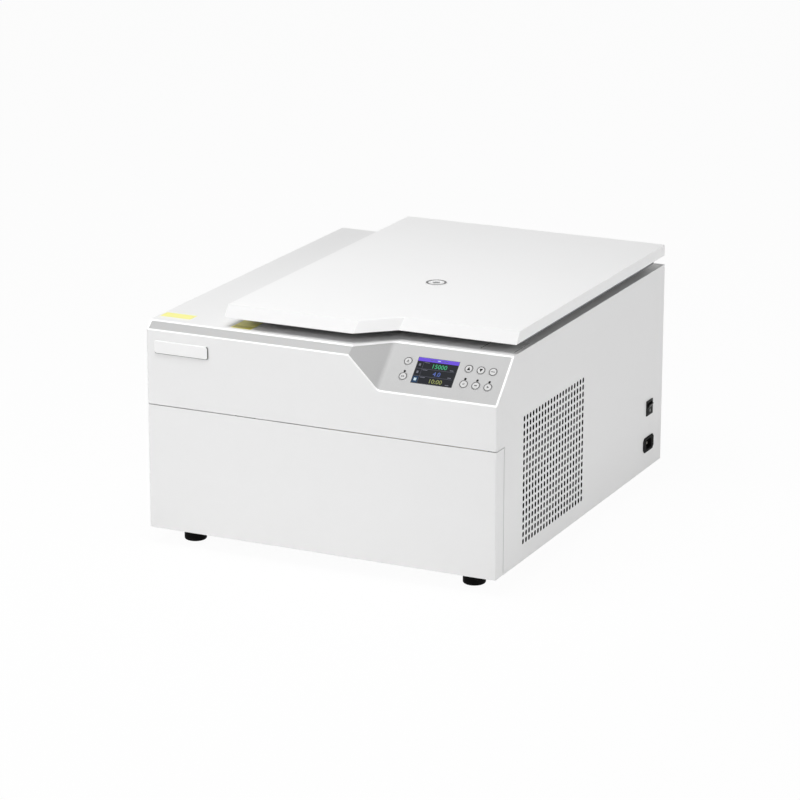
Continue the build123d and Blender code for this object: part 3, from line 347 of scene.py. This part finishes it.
# The low rims that face up and forward take a brighter copy of the coat, as painted highlight.
rim_painted_highlight = powder_coat("white_rim_painted_highlight", tone=251, roughness=0.30)
housing_low, housing_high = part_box("top_housing")
rim_tilt = 0.35
low_rims = housing_high.z - 0.008
second_coat(housing, rim_painted_highlight, lambda face: face.normal.y < -rim_tilt and face.normal.z > rim_tilt
            and face.center.z < low_rims)
eased("lower_front_panel", "lower_front_sheet", white_paint, width=0.0005)
for sheet in ("left_side_panel", "rear_panel"):
    dress(sheet, white_paint)
grille_sheet = bmesh.new()
grille_sheet.from_mesh(nodes["right_side_panel"].data)
bmesh.ops.remove_doubles(grille_sheet, verts=grille_sheet.verts, dist=weld)
grille_front, grille_rear = -0.250, 0.002
grille_low, grille_high = 0.050, 0.265
slot_outside = max(corner.co.x for corner in grille_sheet.verts) - 0.00001
slot_draw = 0.0005
wall_tilt = 0.5
sheet_tilt = 0.9


def in_grille(point):
    """Whether a point of the sheet lies in the punched field."""
    return grille_front < point.y < grille_rear and grille_low < point.z < grille_high


walls = {face for face in grille_sheet.faces
         if abs(face.normal.x) < wall_tilt and in_grille(face.calc_center_median())}
while walls:
    slot = {walls.pop()}
    found = set(slot)
    while found:
        found = {face for wall in found for edge in wall.edges for face in edge.link_faces
                 if face in walls}
        walls -= found
        slot |= found
    rim = {corner for wall in slot for corner in wall.verts if corner.co.x > slot_outside}
    middle = sum((corner.co for corner in rim), Vector()) / len(rim)
    for corner in rim:
        corner.co += (corner.co - middle).normalized() * slot_draw
# The slots' walls and the sheet's inner face are painted black, as painted shade.
for face in grille_sheet.faces:
    punched = in_grille(face.calc_center_median()) and abs(face.normal.x) < sheet_tilt
    face.material_index = 1 if punched or face.normal.x < -sheet_tilt else 0
slot_painted_shade = moulded("punched_edge_painted_shade", linear(14), roughness=0.7, gloss=0.0)
right_sheet = to_piece("right_side_sheet", grille_sheet, [white_paint, slot_painted_shade], "cabinet")
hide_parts("right_side_panel")
dress("base_pan", base_pan_painted_shade)


# Release cover: a small moulded lid, let into the deck at the right, over the emergency
# release of the lid lock. It lifts out by its gap, and a black strip in that gap is painted shade.
def patch(form, place, x0, x1, y0, y1, layer, kind):
    """A thin plate in a bmesh, between corners in the place's own X and Y."""
    size = Matrix.Diagonal((x1 - x0, y1 - y0, layer, 1.0))
    middle = Matrix.Translation(((x0 + x1) / 2, (y0 + y1) / 2, layer / 2))
    made = bmesh.ops.create_cube(form, size=1.0, matrix=place @ middle @ size)
    for face in {face for corner in made["verts"] for face in corner.link_faces}:
        face.material_index = kind


cover_plastic = moulded("release_cover_plastic", linear(226), roughness=0.45)
eased("release_cover", "lock_release_cover", cover_plastic, width=0.0004)
# A black strip in the cover's gap, as painted shade.
gap_painted_shade = moulded("gap_strip_painted_shade", linear(14), roughness=0.6, gloss=0.0)
cover_low, cover_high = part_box("release_cover")
gap_wide = 0.001
gap_strip_tall = 0.0017
left, front, foot = cover_low
right, rear = cover_high.x, cover_high.y
gap_strip = bmesh.new()
for x0, x1, y0, y1 in ((left - gap_wide, left, front - gap_wide, rear + gap_wide),
                       (right, right + gap_wide, front - gap_wide, rear + gap_wide),
                       (left, right, front - gap_wide, front),
                       (left, right, rear, rear + gap_wide)):
    patch(gap_strip, Matrix.Translation((0, 0, foot)), x0, x1, y0, y1, gap_strip_tall, 0)
to_piece("release_gap_painted_shade", gap_strip, [gap_painted_shade], "cabinet")


# Feet: four black moulded rubber feet under the base pan's corners, with a fine mould grain
# and some bench dust round the lower edge.
foot_rubber = Finish("foot_rubber", Specular_IOR_Level=0.06)
above_bench = foot_rubber.axes()[2]
foot_dust = (1.0 - above_bench.within(low=0.0, high=0.006)) * foot_rubber.noise(260.0, 4.0)
foot_rubber.feed("Base Color", foot_rubber.blend(foot_dust * 0.5, linear(7), linear(30, 29, 28)))
foot_rubber.feed("Roughness", 0.55 + 0.2 * foot_rubber.noise(90.0, 3.0))
foot_rubber.bump(foot_rubber.noise(1400.0, 2.0), strength=0.25, distance=0.0002)
dress("feet", foot_rubber)


# Control band: a light grey overlay let into the sloped front, inside the housing's white rim.
# It carries the windows for the screen, the keys and the lamps.
band_grey = Finish("grey_overlay")
speckle = band_grey.noise(1700.0, 1.0)
band_grey.feed("Base Color", band_grey.blend(speckle.within(low=0.35, high=0.65),
                                             linear(179), linear(185)))
band_grey.feed("Roughness", 0.42 + 0.08 * band_grey.noise(60.0, 3.0))
band_grey.bump(speckle, strength=0.08, distance=0.0001)
eased("control_band", "grey_control_overlay", band_grey, width=0.0002)


# Badge plate: a plain moulded plate with a satin white face, stuck to the upper front near its
# left end. Its right and lower flanks take a dark metallised grey as painted shade, and its top
# and left flanks take the face's white as painted light.
badge_face_and_lit_flanks = moulded("badge_face_white_and_painted_light", linear(248), roughness=0.30, grain=1200.0, relief=0.04)
badge_flank_shade = Finish("badge_flank_painted_shade", Metallic=0.6)
badge_flank_shade.feed("Base Color", badge_flank_shade.blend(badge_flank_shade.noise(80.0, 3.0), linear(96), linear(112)))
badge_flank_shade.feed("Roughness", 0.30 + 0.1 * badge_flank_shade.stretched(40.0, 900.0, 900.0))
badge_border = eased("badge_plate", "badge_border", badge_flank_shade, width=0.0014, steps=3)
# The right and lower flanks take the dark metal as painted shade, and the top and left flanks the
# face's white as painted light.
border_tilt = 0.1
second_coat(badge_border, badge_face_and_lit_flanks,
            lambda face: face.normal.x < border_tilt and face.normal.z > -border_tilt)


# Screen: a flat colour display behind a dark window in the slope. Its picture has a violet
# header, three lines of numbers and a column of marks. Only plain numbers are shown.
slope_drop = 0.0638
slope_run = 0.064
slope_length = math.hypot(slope_drop, slope_run)
band_sink = 0.0004


def on_slope(side, up, lift=0.0):
    """A place on the slope: metres from the cabinet's right, up the slope and above its surface."""
    share = up / slope_length
    normal = Vector((0.0, -slope_drop, slope_run)) / slope_length
    along = Vector((0.0, slope_run, slope_drop)) / slope_length
    point = Vector((housing_high.x - side, housing_low.y + share * slope_run,
                    housing_high.z - slope_drop + share * slope_drop)) + normal * lift
    turn = Matrix((Vector((1, 0, 0)), along, normal)).transposed()
    return Matrix.Translation(point) @ turn.to_4x4()


def lit(name, tone, dim=0.85):
    """A patch of the lit picture, with the fine rows of a display."""
    light = Finish(name, Roughness=0.28, Emission_Strength=1.0, Base_Color=(0.004, 0.004, 0.005, 1.0),
                   Specular_IOR_Level=0.04)
    display_rows = light.noise(2600.0, 0.0)
    light.feed("Emission Color", light.blend(display_rows, tuple(part * dim for part in tone), tone))
    return light


figure_tall = 0.0104
figure_layer = 0.00002


def numerals(name, text, place, x, y, finish):
    """Plain figures as a thin mesh, left edge and foot at x and y of the place."""
    curve = bpy.data.curves.new(name, "FONT")
    curve.body = text
    curve.size = figure_tall
    curve.extrude = figure_layer
    curve.resolution_u = 3
    writing = bpy.data.objects.new(name, curve)
    bpy.context.scene.collection.objects.link(writing)
    bpy.context.view_layer.update()
    mesh = bpy.data.meshes.new_from_object(writing)
    bpy.data.objects.remove(writing)
    form = bmesh.new()
    form.from_mesh(mesh)
    bmesh.ops.transform(form, matrix=place @ Matrix.Translation((x, y, 0.0)), verts=form.verts)
    return to_piece(name, form, [finish], "cabinet")


screen_wide = 0.069
screen_tall = 0.046
screen_place = on_slope(0.117, 0.0458, -band_sink)
picture_layer = 0.00004
picture_colours = [
    lit("screen_ground", linear(24, 27, 33)),
    lit("screen_header", linear(116, 84, 236), dim=0.7),
    lit("screen_rule", linear(92, 94, 108)),
    lit("screen_cell", linear(30, 60, 92)),
    lit("screen_mark", linear(205, 228, 240)),
    lit("screen_label", linear(118, 120, 132)),
]
window_glass = moulded("screen_surround", linear(18), roughness=0.3, grain=400.0, relief=0.02)
dress("screen_module", window_glass)
screen_margin = 0.0006
header_tall = 0.0062
half_wide = screen_wide / 2 - screen_margin
half_tall = screen_tall / 2 - screen_margin
header_foot = half_tall - header_tall
row_tall = (header_foot + half_tall) / 3
mark_side = -half_wide + 0.0105
layers = [screen_place @ Matrix.Translation((0, 0, step * picture_layer)) for step in range(3)]
ground, header, rule, cell, symbol, label = range(6)
picture = bmesh.new()


def show(layer, left, right, foot, top, kind):
    """One patch of the picture, in metres from the screen's middle."""
    patch(picture, layers[layer], left, right, foot, top, picture_layer, kind)


show(0, -half_wide, half_wide, -half_tall, half_tall, ground)
show(1, -half_wide, half_wide, header_foot, half_tall, header)
rule_half = 0.00025
rule_margin = 0.001
rule_right = half_wide - 0.0035
for row in (1, 2):
    line = header_foot - row * row_tall
    show(1, -half_wide + rule_margin, rule_right, line - rule_half, line + rule_half, rule)
upright_half = 0.0002
show(1, mark_side - upright_half, mark_side + upright_half, -half_tall + rule_margin,
     header_foot - rule_margin, rule)
cell_margin, cell_right, cell_top = 0.0006, 0.0008, 0.0010
show(1, -half_wide + cell_margin, mark_side - cell_right, -half_tall + cell_margin,
     -half_tall + row_tall - cell_top, cell)
symbol_margin, symbol_foot, symbol_top = 0.0032, 0.0042, 0.0040
show(2, -half_wide + symbol_margin, mark_side - symbol_margin, -half_tall + symbol_foot,
     -half_tall + row_tall - symbol_top, symbol)
label_left, label_right, label_margin = 0.0036, 0.0038, 0.0044
for row in (1, 2):
    low = -half_tall + row * row_tall
    show(1, -half_wide + label_left, mark_side - label_right, low + label_margin,
         low + row_tall - label_margin, label)
title_drop, title_left, title_right, title_tall = 0.0014, 0.0016, 0.0098, 0.0009
unit_left, unit_right, unit_foot, unit_top = 0.0115, 0.0055, 0.0096, 0.0084
for row in range(3):
    top = header_foot - row * row_tall - title_drop
    show(1, mark_side + title_left, mark_side + title_right, top - title_tall, top, label)
    show(1, half_wide - unit_left, half_wide - unit_right, top - unit_foot, top - unit_top, label)
tab_first, tab_step, tab_wide, tab_foot, tab_top = 0.020, 0.0062, 0.0046, 0.0026, 0.0037
chosen_tab = 2
for tab in range(5):
    start = -half_wide + tab_first + tab * tab_step
    show(2, start, start + tab_wide, header_foot + tab_foot, header_foot + tab_top,
         symbol if tab == chosen_tab else rule)
to_piece("screen_picture", picture, picture_colours, "cabinet")
figure_foot = 0.0025
for reading, figures, light_name, tone, x, row in (
        ("reading_speed", "15000", "reading_green", linear(72, 196, 138), -0.0090, 1),
        ("reading_cold", "4.0", "reading_blue", linear(98, 122, 204), -0.0028, 2),
        ("reading_time", "10:00", "reading_yellow", linear(164, 170, 98), -0.0065, 3)):
    numerals(reading, figures, layers[2], x, header_foot - row * row_tall + figure_foot,
             lit(light_name, tone))


# Keys: eight round caps in the overlay, pressed against switches on the board behind. Each
# has a printed dark ring and a printed mark. The lamps above the lower keys are small dark
# lenses with a printed black ring round each.
key_cap = moulded("key_cap_plastic", linear(196), roughness=0.38, grain=1300.0, relief=0.06)
ring_ink = moulded("key_ring_ink", linear(88), roughness=0.5, grain=1300.0, relief=0.05, gloss=0.2)
grey_ink = moulded("key_grey_ink", linear(92), roughness=0.5, grain=1300.0, relief=0.05, gloss=0.2)
black_ink = moulded("key_black_ink", linear(12), roughness=0.5, grain=1300.0, relief=0.05, gloss=0.1)
key_top = 0.0001
ring_outer = 0.0065
ring_inner = 0.0054
surround_outer = 0.0020
surround_inner = 0.0014
surround_layer = 0.0001
ink_layer = 0.00003
small_ring_steps = 24
key_columns = [0.0653, 0.0453, 0.0253]
key_rows = {"upper": 0.0590, "lower": 0.0320}
left_column = 0.1665
lamp_up = 0.0411
keys = {
    "button_lid_open": (left_column, key_rows["upper"], "eject"),
    "button_short_spin": (left_column, key_rows["lower"], "double"),
    "button_up": (key_columns[0], key_rows["upper"], "up"),
    "button_down": (key_columns[1], key_rows["upper"], "down"),
    "button_enter": (key_columns[2], key_rows["upper"], "enter"),
    "button_set": (key_columns[0], key_rows["lower"], "bars"),
    "button_stop": (key_columns[1], key_rows["lower"], "stop"),
    "button_start": (key_columns[2], key_rows["lower"], "start"),
}


def printed(form, place, points, kind=0):
    """A flat printed shape from its corner points."""
    corners = [form.verts.new(place @ Vector((x, y, 0.0))) for x, y in points]
    face = form.faces.new(corners)
    grown = bmesh.ops.extrude_face_region(form, geom=[face])
    lift = (place.to_3x3() @ Vector((0, 0, 1))) * ink_layer
    raised = [part for part in grown["geom"] if isinstance(part, bmesh.types.BMVert)]
    bmesh.ops.translate(form, vec=lift, verts=raised)
    for face in {face for corner in corners + raised for face in corner.link_faces}:
        face.material_index = kind


def ring(form, place, outer, inner, thick, steps=48):
    """A flat ring with square edges."""
    start = [form.verts.new(place @ Vector((radius, 0, z))) for radius, z in
             ((inner, 0), (outer, 0), (outer, thick), (inner, thick))]
    edges = [form.edges.new((start[i], start[(i + 1) % 4])) for i in range(4)]
    bmesh.ops.spin(form, geom=start + edges, angle=2 * math.pi, steps=steps, use_merge=True,
                   cent=place.translation, axis=place.to_3x3() @ Vector((0, 0, 1)))


def bar(wide, tall, y=0.0):
    """The corners of a bar, by half its width and half its height."""
    return [(-wide, y - tall), (wide, y - tall), (wide, y + tall), (-wide, y + tall)]


grey_print, black_print = 1, 2
marks = {
    "up": (black_print, [[(-0.0029, -0.0026), (0.0029, -0.0026), (0.0, 0.0032)]]),
    "down": (black_print, [[(-0.0029, 0.0026), (0.0, -0.0032), (0.0029, 0.0026)]]),
    "enter": (grey_print, [bar(0.0032, 0.0006)]),
    "stop": (grey_print, [bar(0.0024, 0.0009)]),
    "bars": (grey_print, [bar(0.0018, 0.0004, 0.0009), bar(0.0018, 0.0004, -0.0009)]),
    "start": (grey_print, [[(-0.0016, -0.0020), (0.0022, 0.0), (-0.0016, 0.0020)]]),
    "eject": (grey_print, [[(-0.0022, -0.0002), (0.0022, -0.0002), (0.0, 0.0022)],
                           bar(0.0022, 0.0005, -0.0016)]),
    "double": (grey_print, [[(-0.0024, -0.0017), (0.0, 0.0), (-0.0024, 0.0017)],
                            [(0.0001, -0.0017), (0.0025, 0.0), (0.0001, 0.0017)]]),
}
for node, (side, up, mark) in keys.items():
    eased(node, node + "_cap", key_cap, 0.00012)
    on_key = on_slope(side, up, key_top)
    ink = bmesh.new()
    ring(ink, on_key, ring_outer, ring_inner, ink_layer)
    kind, shapes = marks[mark]
    for shape in shapes:
        printed(ink, on_key, shape, kind)
    bmesh.ops.recalc_face_normals(ink, faces=ink.faces)
    to_piece(node + "_print", ink, [ring_ink, grey_ink, black_ink], nodes[node]["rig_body"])
lamp_lens = Finish("lamp_lens", Roughness=0.2, Specular_IOR_Level=0.1)
lamp_lens.feed("Base Color", lamp_lens.blend(lamp_lens.noise(600.0, 2.0), linear(8),
                                             linear(16, 12, 12)))
dress("indicator_lamps", lamp_lens)
surrounds = bmesh.new()
for side, up, mark in keys.values():
    if up == key_rows["lower"]:
        ring(surrounds, on_slope(side, lamp_up, -band_sink), surround_outer, surround_inner,
             surround_layer, small_ring_steps)
to_piece("lamp_surrounds", surrounds, [black_ink], "cabinet")


# Circuit boards: green glass-fibre boards with copper tracks. The key board stands on posts
# behind the slope, with a switch under each key, and the main board inside the cabinet.
board_green = Finish("board_green")
tracks = board_green.node("ShaderNodeTexBrick", None, {"Vector": board_green.place(), "Scale": 160.0})
board_green.feed("Base Color", board_green.blend(tracks, linear(24, 78, 44), linear(34, 104, 58)))
board_green.feed("Roughness", 0.35 + 0.2 * board_green.noise(300.0, 3.0))
board_green.bump(tracks, strength=0.2, distance=0.0001)
dress("key_board", board_green)
dress("main_board", board_green)


# Lid: a folded and filled white steel lid with a stepped, bevelled front, over a dark inner
# plate with foam between them. Its coat is a lighter copy of the cabinet's, as painted light,
# and its forward faces take a darker copy, as painted shade. A black seal under it meets the
# bowl's rim, and a thin dark strip under its right edge is painted shade.
# The lid's coat is a lighter copy of the cabinet's, as painted light, and its forward faces take a
# darker copy, as painted shade.
lid_painted_light_coat = powder_coat("white_lid_coat_painted_light", tone=246, roughness=0.36)
lid_front_painted_shade = powder_coat("white_lid_front_painted_shade", tone=232, roughness=0.40)
white_lid = eased("lid_shell", "white_lid", lid_painted_light_coat, width=0.0010, steps=3)
front_tilt, side_tilt = 0.3, 0.2
second_coat(white_lid, lid_front_painted_shade,
            lambda face: face.normal.y < -front_tilt and abs(face.normal.x) < side_tilt)
liner_plastic = moulded("lid_liner_plastic", linear(58, 60, 63), roughness=0.42, grain=700.0,
                        relief=0.12)
eased("lid_liner", "dark_lid_liner", liner_plastic, width=0.0010, steps=3)
lid_low, lid_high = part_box("lid_shell")
# A thin dark strip under the lid's right edge, as painted shade.
strip_deep = 0.0038
strip_wide = 0.0030
strip_from_edge = 0.0025
strip_front, strip_rear = -0.250, 0.300
strip_right = lid_high.x - strip_from_edge
edge_shade_strip = bmesh.new()
patch(edge_shade_strip, Matrix.Translation((0, 0, lid_low.z - strip_deep)), strip_right - strip_wide,
      strip_right, strip_front, strip_rear, strip_deep, 0)
to_piece("lid_edge_painted_shade", edge_shade_strip, [liner_plastic], "lid")
foam_cream = Finish("rigid_foam", Roughness=0.9)
cells = foam_cream.node("ShaderNodeTexVoronoi", None, {"Vector": foam_cream.place(), "Scale": 520.0})
foam_cream.feed("Base Color", foam_cream.blend(cells, linear(224, 208, 156), linear(240, 228, 186)))
foam_cream.bump(cells, strength=0.5, distance=0.0006)
dress("lid_foam", foam_cream)
dress("bowl_insulation", foam_cream)
black_rubber = Finish("seal_rubber")
black_rubber.feed("Base Color", black_rubber.blend(black_rubber.noise(45.0, 3.0), linear(20),
                                                   linear(34)))
black_rubber.feed("Roughness", 0.5 + 0.2 * black_rubber.noise(150.0, 3.0))
black_rubber.bump(black_rubber.noise(1100.0, 2.0), strength=0.15, distance=0.0002)
for part in ("lid_seal", "neck_boot", "rubber_mounts"):
    dress(part, black_rubber)


# Sight glass: a clear disc in a moulded ring in the middle of the lid, for checking the speed
# with a strobe. A grey ring on the moulded ring is painted shade, and a white ring over the
# disc's edge is painted reflection.
ring_white = moulded("sight_ring_plastic", linear(240), roughness=0.35, grain=1200.0, relief=0.05)
sight_shade_grey = moulded("sight_painted_shade_grey", linear(112), roughness=0.5, grain=1200.0, relief=0.05,
                     gloss=0.1)
eased("sight_glass_ring", "sight_ring", ring_white, width=0.0004, steps=3)
sight_low, sight_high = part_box("sight_glass_ring")
glass_low, glass_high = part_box("sight_glass")
sight_middle = (sight_low + sight_high) / 2
sight_radius = (sight_high.x - sight_low.x) / 2
glass_radius = (glass_high.x - glass_low.x) / 2
for line_name, top, radius, outer_share, inner_share, finish in (
        # A grey ring on the moulded ring, as painted shade.
        ("sight_painted_shade_ring", sight_high.z, sight_radius, 0.90, 0.70, sight_shade_grey),
        # A white ring over the disc's edge, as painted reflection.
        ("sight_painted_reflection_ring", glass_high.z, glass_radius, 1.0, 0.5, ring_white)):
    line = bmesh.new()
    ring(line, Matrix.Translation((sight_middle.x, sight_middle.y, top)), radius * outer_share,
         radius * inner_share, ink_layer)
    to_piece(line_name, line, [finish], "lid")
clear = Finish("sight_glass_clear", Roughness=0.03, IOR=1.49, Transmission_Weight=1.0)
clear.feed("Base Color", clear.blend(clear.noise(50.0, 2.0), linear(222, 228, 228),
                                     linear(236, 240, 240)))
clear.bump(clear.noise(90.0, 1.0), strength=0.02, distance=0.0002)
dress("sight_glass", clear)


# Plain metal parts: zinc-plated steel in the lock, the hinges, the screws and the motor plate.
# The motors and the compressor are painted black.
def plated(name, low, high, roughness, across, metallic=1.0):
    """Metal with the fine straight lines that rolling or brushing leaves."""
    metal = Finish(name, Metallic=metallic)
    lines = metal.stretched(*across, detail=3.0)
    cloud = metal.noise(18.0, 3.0)
    metal.feed("Base Color", metal.blend(cloud, low, high))
    metal.feed("Roughness", roughness + 0.16 * lines)
    metal.bump(lines, strength=0.06, distance=0.0001)
    return metal


zinc = plated("zinc_plated_steel", linear(168, 172, 178), linear(200, 202, 206), roughness=0.26,
              across=(900.0, 60.0, 900.0))
for part in ("lid_strikers", "latch_shaft", "latch_hooks", "latch_brackets", "hinge_brackets",
             "hinge_leaves", "hinge_pins", "motor_plate", "rear_panel_screws"):
    dress(part, zinc)
motor_black = moulded("motor_black_paint", linear(38, 39, 42), roughness=0.48, grain=420.0, relief=0.15)
for part in ("latch_gear_motor", "drive_motor", "fan_motor", "compressor"):
    dress(part, motor_black)


# Chamber: a spun stainless bowl with the marks of its spinning, in foam, with the copper
# evaporator tube wound round it.
chamber_low, chamber_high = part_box("chamber_bowl")
chamber_x = (chamber_low.x + chamber_high.x) / 2
chamber_y = (chamber_low.y + chamber_high.y) / 2


def turned_metal(name, low, high, roughness, pitch, depth):
    """Metal with the circular marks that turning or spinning leaves about the chamber's axis."""
    metal = Finish(name, Metallic=1.0)
    x, y, z = metal.axes()
    across = x - chamber_x
    deep = y - chamber_y
    radius = (across * across + deep * deep) ** 0.5
    rings = metal.node("ShaderNodeCombineXYZ", None, {0: radius * pitch, 1: z * pitch, 2: 0.0})
    marks_seen = metal.noise(1.0, 3.0, rings)
    metal.feed("Base Color", metal.blend(metal.noise(12.0, 3.0), low, high))
    metal.feed("Roughness", roughness + 0.18 * marks_seen)
    metal.bump(marks_seen, strength=depth, distance=0.0001)
    return metal


bowl_steel = turned_metal("spun_stainless", linear(186), linear(208), roughness=0.22, pitch=1400.0,
                          depth=0.10)
eased("chamber_bowl", "stainless_bowl", bowl_steel, width=0.0003)
copper = Finish("copper_tube", Metallic=1.0)
tarnish = copper.noise(26.0, 4.0)
copper.feed("Base Color", copper.blend(tarnish.within(low=0.35, high=0.7),
                                       linear(200, 122, 86), linear(142, 84, 62)))
copper.feed("Roughness", 0.25 + 0.25 * tarnish)
copper.bump(copper.noise(300.0, 2.0), strength=0.05, distance=0.0002)
for part in ("evaporator_coil", "refrigerant_pipes", "filter_drier"):
    dress(part, copper)


# Rotor: a turned and anodised aluminium fixed-angle rotor with six tube pockets, on the
# motor's steel spindle, held by a hexagonal nut.
rotor_metal = turned_metal("anodised_rotor", linear(92, 95, 100), linear(112, 115, 121),
                           roughness=0.30, pitch=2200.0, depth=0.14)
eased("rotor", "fixed_angle_rotor", rotor_metal, width=0.0008, steps=3)
nut_metal = turned_metal("rotor_nut_steel", linear(190), linear(212), roughness=0.18, pitch=2600.0,
                         depth=0.10)
eased("rotor_nut", "rotor_hold_nut", nut_metal, width=0.0008, steps=3)
dress("drive_spindle", nut_metal)


# Cooling set: finned condenser behind the grille, fan in a shroud, compressor, drier and
# pipes. The fins are painted near-black, which also stands in for the shade behind the grille.
# Black paint on the fins, near-black so that it also stands in for the shade behind the grille.
fin_black_and_shade = moulded("condenser_black_paint_and_shade", linear(15, 15, 16), roughness=0.6, grain=500.0,
                    relief=0.2, gloss=0.0)
dress("condenser", fin_black_and_shade)
fan_plastic = moulded("fan_black_plastic", linear(32), roughness=0.45)
for part in ("fan_shroud", "condenser_fan"):
    dress(part, fan_plastic)


# Mains side: a black rocker switch in its frame and a black three-pin inlet, both pressed
# into the right-hand sheet. The rocker has an on line and an off ring, and the inlet's prongs
# are plated brass.
switch_black = moulded("switch_black", linear(22), roughness=0.34, grain=900.0, relief=0.08, gloss=0.04)
inlet_black = moulded("inlet_black", linear(34), roughness=0.5, grain=800.0, relief=0.10, gloss=0.01)
eased("rocker_frame", "switch_frame", switch_black, width=0.0003)
rocker = eased("power_rocker", "switch_rocker", switch_black, width=0.0003)
mark_white = moulded("switch_mark_white", linear(206), roughness=0.5, grain=1300.0, relief=0.05)
outward_tilt = 0.7
halves = sorted((face for face in rocker.data.polygons if face.normal.x > outward_tilt),
                key=lambda face: face.area)[-2:]
halves.sort(key=lambda face: face.center.z)
mark_half, line_half, off_inner = 0.0022, 0.0005, 0.0015
across = Vector((0.0, 1.0, 0.0))
switch_marks = bmesh.new()
for half, shape in zip(halves, ("off", "on")):
    turn = Matrix((across, half.normal.cross(across), half.normal)).transposed().to_4x4()
    on_half = Matrix.Translation(half.center) @ turn
    if shape == "on":
        printed(switch_marks, on_half, bar(line_half, mark_half))
    else:
        ring(switch_marks, on_half, mark_half, off_inner, ink_layer, small_ring_steps)
bmesh.ops.recalc_face_normals(switch_marks, faces=switch_marks.faces)
to_piece("switch_marks", switch_marks, [mark_white], nodes["power_rocker"]["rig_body"])
eased("power_inlet", "mains_inlet_body", inlet_black, width=0.0003)
brass = plated("plated_brass", linear(206, 202, 190), linear(226, 222, 210), roughness=0.35,
               across=(60.0, 900.0, 900.0), metallic=0.3)
dress("inlet_prongs", brass)


# Drive electronics: the motor drive in a folded aluminium box with its finned sink, both
# with the straight lines of the rolled sheet.
box_metal = plated("folded_aluminium", linear(178), linear(202), roughness=0.36,
                   across=(60.0, 900.0, 900.0))
dress("motor_drive_box", box_metal)
dress("drive_heat_sink", box_metal)


# Stickers: two plain stickers of printed film, stuck flat on the deck. The white one with a
# yellow strip lies at the front left corner, the yellow one under the lid's front edge. The
# yellow one's front strip is a duller yellow, as painted shade from the lid.
sticker_layer = 0.00012
sticker_finishes = [moulded(name, tone, roughness=0.4, grain=600.0, relief=0.03) for name, tone in (
    ("sticker_white", linear(246, 246, 240)),
    ("sticker_yellow", linear(244, 236, 92)),
    ("sticker_yellow_painted_shade", linear(206, 196, 60)),
    ("sticker_pale_yellow", linear(252, 248, 142)))]
white_face, yellow_face, lid_shade_strip, pale_strip = range(4)
deck_corner = Matrix.Translation((housing_low.x, housing_low.y, housing_high.z))
sticker_top = deck_corner @ Matrix.Translation((0, 0, sticker_layer))
print_layer = sticker_layer / 4
stickers = bmesh.new()
# The yellow sticker's front strip is a duller yellow, as painted shade from the lid.
for place, left, right, front, rear, layer, colour in (
        (deck_corner, 0.0030, 0.0590, 0.0280, 0.0620, sticker_layer, white_face),
        (sticker_top, 0.0040, 0.0580, 0.0375, 0.0610, print_layer, pale_strip),
        (deck_corner, 0.1360, 0.1710, 0.0250, 0.0750, sticker_layer, yellow_face),
        (sticker_top, 0.1385, 0.1685, 0.0275, 0.0400, print_layer, lid_shade_strip)):
    patch(stickers, place, left, right, front, rear, layer, colour)
to_piece("deck_stickers", stickers, sticker_finishes, "cabinet")
